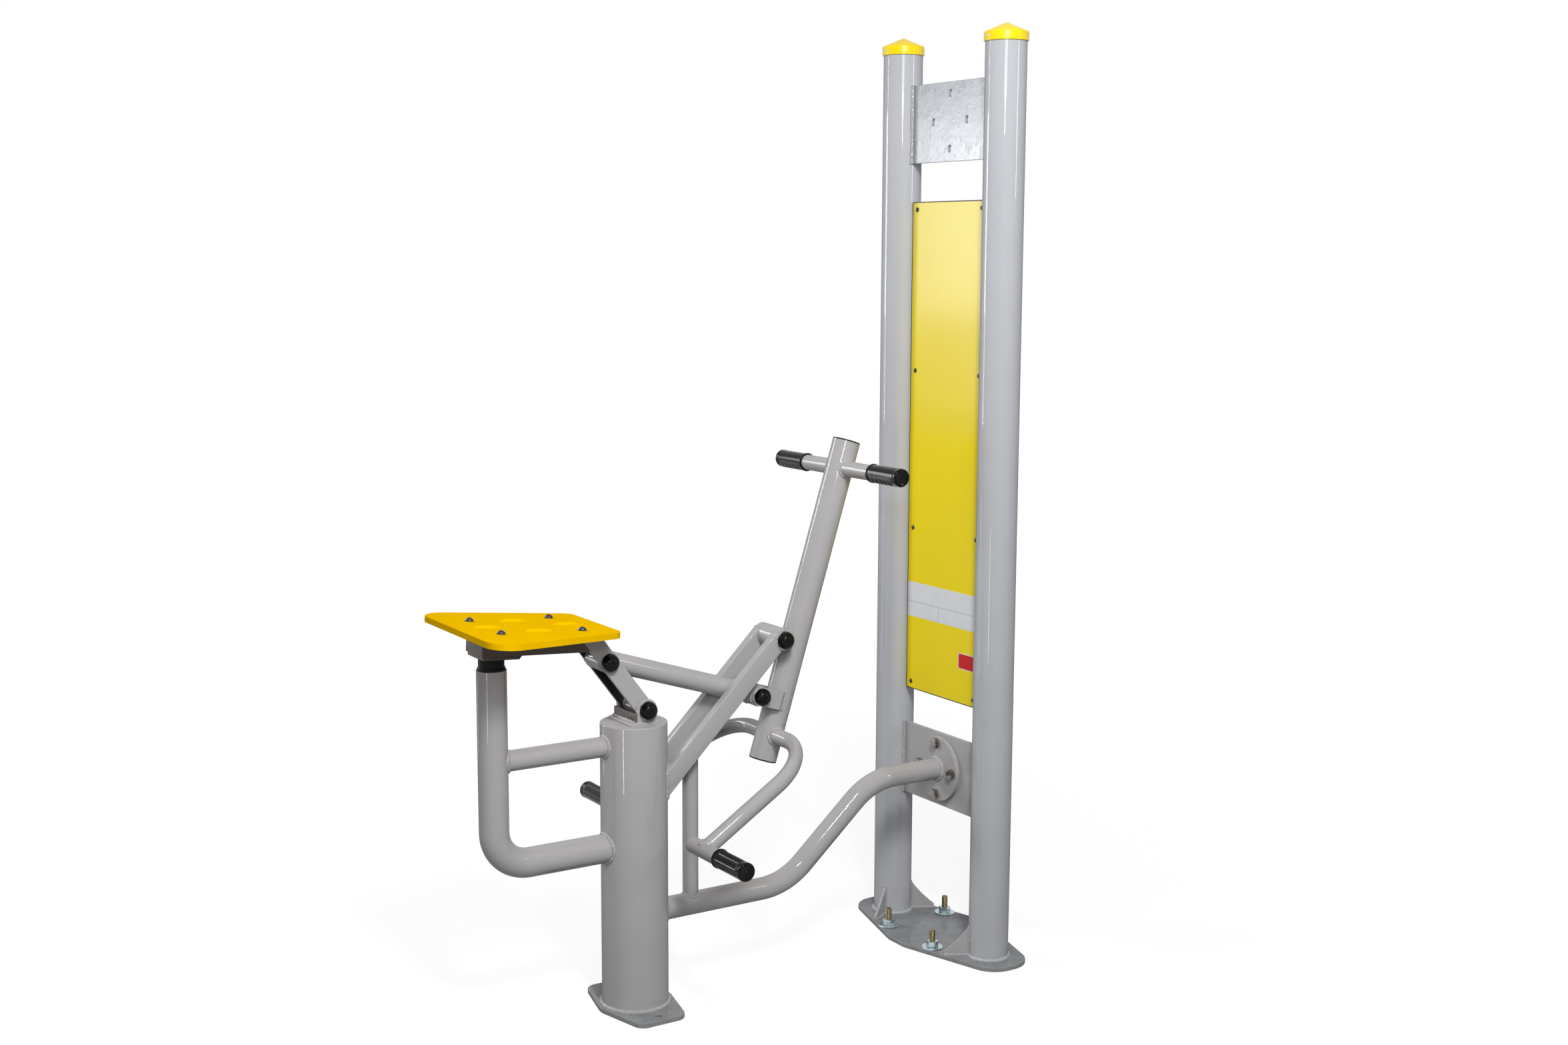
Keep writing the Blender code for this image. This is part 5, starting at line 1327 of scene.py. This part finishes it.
def seat():
    corners = [(TOUCH - SEAT_BACK, SEAT_BACK_HALF), (SEAT_FRONT, SEAT_FRONT_HALF)]
    corners += [(ahead, -half) for ahead, half in reversed(corners)]
    radii = [SEAT_BACK_ROUND, SEAT_FRONT_ROUND, SEAT_FRONT_ROUND, SEAT_BACK_ROUND]
    up = place(SEAT_UP)
    outline = rounded([place(seat_point(ahead, SEAT_T), y) for ahead, y in corners], radii, SEAT_CORNER_STEPS)
    bm = solid(prism, outline, up * SEAT_T)
    plank = piece("seat_plank", bm, "seat_board", slot="yellow_seat", body="seat_arm")
    hollows = bmesh.new()
    for x, y in HOLLOWS:
        seat_hollow(hollows, x, y, HOLLOW_LENGTH, HOLLOW_WIDTH, HOLLOW_DEPTH)
        seat_hollow(hollows, x + HOLLOW_DOT_AHEAD, y, 2 * HOLLOW_DOT_R, 2 * HOLLOW_DOT_R, HOLLOW_DOT_R / 2)
    soften(cut(plank, hollows), SEAT_EDGE, 4)
    bolts = bmesh.new()
    washers = bmesh.new()
    for x in (SEAT_BOLT_BACK_X, SEAT_BOLT_FRONT_X):
        for side in (1, -1):
            spot = on_seat(x, side * SEAT_BOLT_Y, SEAT_WASHER_T)
            button_head(bolts, spot, up, SEAT_BOLT_R, SEAT_BOLT_H, SEAT_BOLT_SOCKET_R)
            pin(washers, spot, up, -SEAT_WASHER_T - TOUCH, 0, SEAT_WASHER_R)
    # The bolts take the darkened steel: a painted dark reflection.
    piece("seat_bolts", bolts, slot="stainless", body="seat_arm", look="dark_reflection_steel")
    piece("seat_washers", washers, slot="stainless", body="seat_arm")


def squared(value):
    """A sine or cosine that makes an oval's sides fuller."""
    return math.copysign(abs(value) ** HOLLOW_OVAL_POWER, value)


def seat_hollow(bm, x, y, length, width, depth):
    """The cutter of a shallow oval hollow, a flattened dome upside down."""
    turns = [2 * math.pi * k / SIDES_HOLLOW for k in range(SIDES_HOLLOW)]
    oval = [(length / 2 * squared(math.cos(a)), width / 2 * squared(math.sin(a))) for a in turns]
    rings = []
    for angle in [math.pi / 2 * k / HEAD_STEPS for k in range(HEAD_STEPS)]:
        size, low = math.cos(angle) ** HOLLOW_DOME_POWER, depth * math.sin(angle)
        rings.append(ring_of(bm, [on_seat(x + out * size, y + left * size, -low) for out, left in oval]))
    top = ring_of(bm, [vert.co + place(SEAT_UP) * depth for vert in rings[0]])
    bm.faces.new(top)
    chain(bm, [top, *rings, ring_of(bm, [on_seat(x, y, -depth)])])


def seat_box():
    """The folded box under the seat, open in front."""
    upper, lower = SEAT_T + TOUCH, SEAT_T + TOUCH + FRAME_DEPTH
    end = along(SEAT_PIVOT, BAR_AHEAD, -LINK_BAR_R - TOUCH)
    top, low = (meet(seat_point(0, below), SEAT_ALONG, end, BAR_ALONG) for below in (upper, lower))
    outline = [seat_point(-FRAME_BACK, lower), low, top, seat_point(-FRAME_BACK, upper)]
    bm = solid(slab, outline, -FRAME_HALF_Y, FRAME_HALF_Y)
    # The box has the darker coat: painted shade under the seat.
    box = piece("seat_box", bm, "seat_frame", body="seat_arm", look="shaded_paint")
    back = FRAME_WALL - FRAME_BACK
    inner = [along(along(low, SEAT_UP, FRAME_WALL), SEAT_ALONG, OVERRUN)]
    inner.append(along(along(top, SEAT_UP, -FRAME_WALL), SEAT_ALONG, OVERRUN))
    inner = [seat_point(back, lower - FRAME_WALL), *inner, seat_point(back, upper + FRAME_WALL)]
    half = FRAME_HALF_Y - FRAME_WALL
    soften(cut(box, solid(slab, inner, -half, half)))


def stop():
    upper = SEAT_T + TOUCH + FRAME_DEPTH + TOUCH
    lower = upper + STOP_T
    front = STOP_LENGTH - STOP_BACK
    ends = ((-STOP_BACK, upper), (-STOP_BACK, lower), (front - STOP_CHAMFER, lower), (front, upper))
    bm = solid(slab, [seat_point(*end) for end in ends], -STOP_HALF_Y, STOP_HALF_Y)
    # The stop has the darker coat: painted shade under the seat.
    pad = piece("stop_pad", bm, "seat_stop_plate", body="seat_arm", look="shaded_paint")
    soften(pad, WELDED_EDGE)


def flat_link(side, label):
    start = math.atan2(BAR_AHEAD[1], BAR_AHEAD[0])
    outline = half_round(SEAT_PIVOT, LINK_BAR_R, start, -math.pi)
    for edge in (-1, 1):
        foot = along(SEAT_PIVOT, BAR_AHEAD, edge * LINK_BAR_R)
        outline.append(meet(SEAT_UNDER, SEAT_ALONG, foot, BAR_ALONG))
    bm = solid(slab, outline, *sorted((side * LINK_BAR_INNER_Y, side * LINK_BAR_OUTER_Y)))
    # The inner faces get the near-black coat: painted shade in the gap between the bars.
    mark(bm, lambda normal: normal.y * side < -0.9)
    bar = piece(f"{label}_flat_link", bm, f"{label}_link_bar", body="seat_arm")
    bar.data.materials.append(LOOKS["painted_shade_inside"])
    soften(bar)


def pivot_sleeve():
    half = LINK_BAR_INNER_Y
    bm = solid(pin, place(SEAT_PIVOT), LEFT, -half, half, PIVOT_TUBE_R)
    piece("pivot_sleeve", bm, "seat_pivot_tube", body="seat_arm")


def rod():
    rear, front = place(ROD_PIVOT), place(LOOP_PIVOT)
    way = (front - rear).normalized()
    bm = solid(tube, [rear, front], LEFT, ROD_R)
    for centre, beside, inward in ((rear, LINK_BAR_INNER_Y, way), (front, LUG_INNER_Y, -way)):
        half = beside - TOUCH
        pipe(bm, centre, LEFT, -half, half, ROD_EYE_R, AXLE_R, ROD_EYE_EDGE, SIDES_TUBE)
        saddle(bm, centre + inward * ROD_EYE_R * 3, -inward, ROD_R, centre, LEFT, ROD_EYE_R, BEAD_THIN_R)
    piece("rod_tube", bm, "push_rod", body="push_rod")


# Lever


def pole_point(above, ahead=0.0):
    """The (x, z) pair at a distance along the pole from the pivot's foot, and ahead of its axis."""
    return along(along(POLE_FOOT, POLE_ALONG, above), POLE_AHEAD, ahead)


def pole():
    """The pole with its hub and lugs, and the beads of everything welded to it."""
    way, foot = place(POLE_ALONG), place(POLE_FOOT)
    bm = solid(pin, foot, way, PLUG_T - POLE_BELOW, POLE_ABOVE - PLUG_T, POLE_R, SIDES_TUBE)
    half = COLLAR_INNER_Y - TOUCH
    pipe(bm, place(LEVER_PIVOT), LEFT, -half, half, HUB_R, AXLE_R, COLLAR_EDGE, SIDES_TUBE)
    for edge in (1, -1):
        root = pole_point(edge * HUB_BEAD_UP, -POLE_R - BEAD_THIN_R)
        bead(bm, [place(root, end * HUB_BEAD_HALF) for end in (-1, 1)], HUB_BEAD_R, way * edge)
    for at in (HANDLE_AT, FOOT_BAR_AT):
        for side in (1, -1):
            saddle(bm, place(at, side * POLE_R * 3), -LEFT * side, HANDLE_R, foot, way, POLE_R)
    piece("lever_tube", bm, "lever_pole", body="lever")
    plates = solid(lug_plate, LUG_INNER_Y, LUG_OUTER_Y)
    lug_plate(plates, -LUG_OUTER_Y, -LUG_INNER_Y)
    soften(piece("lever_lugs", plates, body="lever"))
    welds = bmesh.new()
    for side in (1, -1):
        y = side * (LUG_INNER_Y + LUG_BEAD_R / 2)
        bead(welds, [place(end, y) for end in lug_ends(-LUG_SHORT)], LUG_BEAD_R, place(POLE_AHEAD))
    piece("lever_lug_welds", welds, body="lever")


def lug_ends(ahead):
    return [pole_point(-LUG_BELOW + end * LUG_HALF_W, ahead) for end in (-1, 1)]


def lug_plate(bm, low, high):
    """A lug whose outer face ends further back than the inner one."""
    start = math.atan2(-POLE_AHEAD[1], -POLE_AHEAD[0]) - math.pi / 2
    lug = half_round(LOOP_PIVOT, LUG_HALF_W, start)
    inner, outer = lug + lug_ends(-LUG_SHORT), lug + lug_ends(-LUG_SHORT - LUG_SLOPE)
    faces = (inner, outer) if low > 0 else (outer, inner)
    loft(bm, [ring_of(bm, [place(pair, y) for pair in face]) for face, y in zip(faces, (low, high))])


def plug(label, above, outward):
    """A thin disc in one end of the pole, slightly dished."""
    face = PLUG_T - TOUCH
    bore, dish, deep = POLE_R - POLE_WALL, POLE_R - PLUG_RIM, face - PLUG_DISH
    profile = [(0, -PLUG_T), (bore, -PLUG_T), (bore, 0), (POLE_R, 0), (POLE_R, face - PLUG_EDGE)]
    profile += [(POLE_R - PLUG_EDGE, face), (dish, face), (dish - PLUG_SLOPE, deep), (0, deep)]
    base = place(along(pole_point(above), outward, TOUCH - PLUG_T))
    bm = solid(turned, profile, base, place(outward), SIDES_TUBE)
    piece(f"{label}_plug", bm, f"pole_{label}_plug", slot="black_plastic", body="lever")


def hand_bar():
    half = HANDLE_HALF - BAR_INSIDE_GRIP
    bm = solid(pin, place(HANDLE_AT), LEFT, -half, half, HANDLE_R, SIDES_TUBE)
    piece("hand_bar", bm, "handlebar", body="lever")


def foot_bow():
    """The bow through the pole and the two cross pegs on its legs."""
    down = place(FOOT_BAR_DOWN)
    corners = [place(FOOT_BAR_AT, side * FOOT_BAR_HALF) for side in (1, -1)]
    ends = [corner + down * FOOT_BAR_LEG for corner in corners]
    route = bent([ends[0], *corners, ends[1]], FOOT_BAR_BEND)
    across = place((-FOOT_BAR_DOWN[1], FOOT_BAR_DOWN[0]))
    bm = solid(tube, route, across, HANDLE_R, flat_share=FOOT_BAR_FLAT_SHARE)
    piece("foot_bow", bm, "foot_bar", body="lever")
    pegs = bmesh.new()
    centre = place(PEG_AT)
    tip = PEG_OUTER_Y - BAR_INSIDE_GRIP
    profile = [(0, PEG_INNER_Y), *lower_quarter(HANDLE_R, PEG_INNER_Y, PEG_EDGE), (HANDLE_R, tip), (0, tip)]
    for side, corner in zip((1, -1), corners):
        turned(pegs, profile, centre, LEFT * side, SIDES_TUBE)
        saddle(pegs, corner, down, HANDLE_R, centre, LEFT, HANDLE_R)
    piece("foot_pegs", pegs, body="lever")


def grip(label, kind, centre, side, end):
    """A closed grip with fine flutes on one side, finger waves under the hand's, and rims at both ends."""
    rim = GRIP_R + GRIP_RIM_PROUD
    start = end - GRIP_L
    low, high = start + GRIP_RIM_T + GRIP_STEP, end - GRIP_PLAIN_END
    outer = GRIP_R + GRIP_END_PROUD
    outward = LEFT * side
    under = -UP if kind == "hand" else UP
    flute_way = (under - outward * under.dot(outward)).normalized()
    over = flute_way.cross(outward).normalized()
    stations = [(HANDLE_R + TOUCH, start), *lower_quarter(rim, start, GRIP_RIM_EDGE, 4)]
    stations += [(rim, start + GRIP_RIM_T - GRIP_STEP), (rim - GRIP_RIM_CHAMFER, start + GRIP_RIM_T)]
    stations.append((GRIP_R, low))
    for share in [k / GRIP_STEPS for k in range(1, GRIP_STEPS)]:
        fade = min(1.0, share * GRIP_FADE, (1 - share) * GRIP_FADE)
        swing = 0.5 - 0.5 * math.cos(share * 2 * math.pi * GRIP_WAVES)
        wave = GRIP_WAVE * swing * fade if kind == "hand" else 0.0
        stations.append((GRIP_R, low + (high - low) * share, GRIP_FLUTE * fade, wave - GRIP_SINK * fade))
    stations += [(GRIP_R, high), (outer, high + GRIP_STEP), *quarter(outer, end, GRIP_END_ROUND)]
    stations += [(radius, end - deep) for radius, deep in GRIP_DISH]
    turns = [2 * math.pi * k / SIDES_GRIP for k in range(SIDES_GRIP)]
    fluted = []
    for turn in turns:
        inside = min(1.0, max(0.0, (math.cos(turn) + FLUTED_PAST) / FLUTED_FADE))
        fluted.append(inside * (0.5 - 0.5 * math.cos(turn * GRIP_FLUTES)))
    toward = [max(0.0, math.cos(a)) ** GRIP_WAVE_POWER for a in turns]
    bm = bmesh.new()
    rings = []
    for radius, height, *carved in stations:
        depth, wave = carved or (0.0, 0.0)
        reaches = [radius - depth * flute + wave * share for flute, share in zip(fluted, toward)]
        rings.append(ring_of(bm, round_points(place(centre) + outward * height, flute_way, over, reaches)))
    loft(bm, rings)
    piece(f"{label}_{kind}_handle", bm, f"{label}_{kind}_grip", slot="black_plastic", body="lever")


# Pivots


def pivot(label, point, face_y, body, washers=True):
    """The axle with its washers, and the two dome caps."""
    tip = face_y + TOUCH + WASHER_T if washers else face_y
    centre = place(point)
    if washers:
        bm = solid(pin, centre, LEFT, -tip, tip, AXLE_R)
        for side in (1, -1):
            low, high = sorted((side * (face_y + TOUCH), side * tip))
            pipe(bm, centre, LEFT, low, high, WASHER_R, AXLE_R, WASHER_EDGE, SIDES_TUBE)
        piece(f"{label}_pin", bm, f"{label}_axle", slot="zinc_plated", body=body, look="blue_zinc")
    low = tip + TOUCH
    rise = low + CAP_STRAIGHT
    dome = [(0, low), (CAP_R - CAP_EDGE, low), (CAP_R, low + CAP_EDGE), (CAP_R, rise)]
    steps = [math.pi / 2 * k / DOME_STEPS for k in range(1, DOME_STEPS)]
    dome += [(CAP_R * math.cos(a), rise + (CAP_H - CAP_STRAIGHT) * math.sin(a)) for a in steps]
    dome.append((0, low + CAP_H))
    for side, name in ((1, "left"), (-1, "right")):
        bm = solid(turned, dome, centre, LEFT * side, SIDES_TUBE)
        nodes = [f"{label}_cap_{name}"]
        piece(f"{label}_dome_{name}", bm, *nodes, slot="black_plastic", body=body, look="black_dome")


# Stage


def camera():
    data = bpy.data.cameras.new("Camera")
    data.sensor_fit = "HORIZONTAL"
    data.sensor_width = SENSOR
    data.lens = CAMERA_LENS
    obj = bpy.data.objects.new("Camera", data)
    bpy.context.scene.collection.objects.link(obj)
    level = math.cos(CAMERA_PITCH)
    ahead = Vector((level * math.cos(CAMERA_YAW), level * math.sin(CAMERA_YAW), math.sin(CAMERA_PITCH)))
    right = Vector((math.sin(CAMERA_YAW), -math.cos(CAMERA_YAW), 0))
    up = right.cross(ahead)
    turned_right = right * math.cos(CAMERA_ROLL) + up * math.sin(CAMERA_ROLL)
    turned_up = up * math.cos(CAMERA_ROLL) - right * math.sin(CAMERA_ROLL)
    turn = Matrix((turned_right, turned_up, -ahead)).transposed()
    obj.matrix_world = Matrix.Translation(CAMERA_AT) @ turn.to_4x4()
    bpy.context.scene.camera = obj


def softbox(name, at, target, width, height, brightness):
    """A lamp of a brightness, where 1 is white, that is seen in gloss but not by the camera."""
    data = bpy.data.lights.new(name, "AREA")
    data.shape = "RECTANGLE"
    data.size = width
    data.size_y = height
    data.energy = brightness * math.pi * width * height
    obj = bpy.data.objects.new(name, data)
    bpy.context.scene.collection.objects.link(obj)
    obj.location = at
    obj.rotation_euler = (Vector(target) - Vector(at)).to_track_quat("-Z", "Y").to_euler()
    obj.visible_camera = False
    return obj


def combined(tree, operation, first, second):
    """The output of a maths node on two values or outputs."""
    node = tree.nodes.new("ShaderNodeMath")
    node.operation = operation
    feed(node.inputs[0], first)
    feed(node.inputs[1], second)
    return node.outputs[0]


def seen_directly(tree):
    """1 for camera, glossy and transmission rays, else 0."""
    path = add_node(tree, "LightPath").outputs
    total = combined(tree, "MAXIMUM", path["Is Camera Ray"], path["Is Glossy Ray"])
    return combined(tree, "MAXIMUM", total, path["Is Transmission Ray"])


def world():
    """A white surround, dimmer where it only lights the object."""
    made = bpy.data.worlds.new("Studio")
    bpy.context.scene.world = made
    made.use_nodes = True
    tree = made.node_tree
    tree.nodes.clear()
    mix = add_node(tree, "MixShader", Fac=seen_directly(tree))
    for socket, strength in zip(mix.inputs[1:], (AMBIENT, 1.0)):
        feed(socket, add_node(tree, "Background", Color=WHITE, Strength=strength).outputs[0])
    add_node(tree, "OutputWorld", Surface=mix.outputs[0])


def floor():
    """A wide floor that keeps the object's shadow, and fades to the white surround away from it."""
    made = bpy.data.materials.new("white_floor")
    made.use_nodes = True
    tree = made.node_tree
    shader = fill(tree.nodes["Principled BSDF"], Base_Color=FLOOR_GREY, Roughness=0.9, Specular_IOR_Level=0.0)
    apart = tree.nodes.new("ShaderNodeVectorMath")
    apart.operation = "DISTANCE"
    feed(apart.inputs[0], add_node(tree, "TexCoord").outputs["Object"])
    feed(apart.inputs[1], FLOOR_MIDDLE)
    rise = add_node(tree, "MapRange", Value=apart.outputs["Value"], To_Min=FLOOR_LIFT, To_Max=1.0)
    fill(rise, From_Min=FLOOR_FADE[0], From_Max=FLOOR_FADE[1])
    lift = combined(tree, "MULTIPLY", seen_directly(tree), rise.outputs["Result"])
    glow = add_node(tree, "Emission", Color=WHITE, Strength=lift)
    both = add_node(tree, "AddShader")
    feed(both.inputs[0], shader.outputs[0])
    feed(both.inputs[1], glow.outputs[0])
    fill(tree.nodes["Material Output"], Surface=both.outputs[0])
    bm = bmesh.new()
    bm.faces.new([bm.verts.new((x * FLOOR_HALF, y * FLOOR_HALF, 0)) for x, y in SQUARE])
    add_object("floor", bm, made)


def stage():
    bpy.context.scene.view_settings.view_transform = "Standard"
    camera()
    world()
    floor()
    lamps = {row[0]: softbox(*row) for row in LAMPS}
    lamps["key"].data.shape = "ELLIPSE"
    lamps["key_fill"].visible_glossy = False


# Everything in its order, which is also the order of the random draws


def dress(node, slot):
    """The look of a CAD node that stays: a bush, or the axle inside the rod's rear eye."""
    for holder in frame["nodes"][node].material_slots:
        holder.material = LOOKS[slot]


def build():
    make_looks()
    foot_plate()
    seat_post()
    pivot_ears()
    rear_tubes()
    bumper()
    brace()
    link_tube()
    flange()
    plinth()
    for number, (x, y) in enumerate(((-1, 1), (-1, -1), (1, 1), (1, -1)), 1):
        anchor(number, Vector((PYLON_X + x * ANCHOR_X, y * ANCHOR_Y, 0)))
    for side, label in ((1, "left"), (-1, "right")):
        support_arm(side, label)
        pylon_post(side, label)
        flat_link(side, label)
        grip(label, "hand", HANDLE_AT, side, HANDLE_HALF)
        grip(label, "foot", PEG_AT, side, PEG_OUTER_Y)
    bracket("lower", LOWER_BRACKET_LOW, LOWER_BRACKET_H, "grey_paint", BEAD_LOWER_R)
    bracket("upper", UPPER_BRACKET_LOW, UPPER_BRACKET_H, "galvanised", BEAD_WIDE_R, solid(slots))
    board()
    seat()
    seat_box()
    stop()
    pivot_sleeve()
    rod()
    pole()
    plug("top", POLE_ABOVE, POLE_ALONG)
    plug("bottom", -POLE_BELOW, (-POLE_ALONG[0], -POLE_ALONG[1]))
    hand_bar()
    foot_bow()
    pivot("seat_pivot", SEAT_PIVOT, EAR_OUTER_Y, "frame")
    pivot("rod_rear", ROD_PIVOT, LINK_BAR_OUTER_Y, "seat_arm", washers=False)
    pivot("rod_front", LOOP_PIVOT, LUG_OUTER_Y, "lever")
    pivot("lever_pivot", LEVER_PIVOT, COLLAR_OUTER_Y, "frame")
    for label in ("seat_pivot", "rod_rear", "rod_front", "lever_pivot"):
        dress(f"{label}_bush", "bronze")
    dress("rod_rear_axle", "stainless")


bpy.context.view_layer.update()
build()
stage()
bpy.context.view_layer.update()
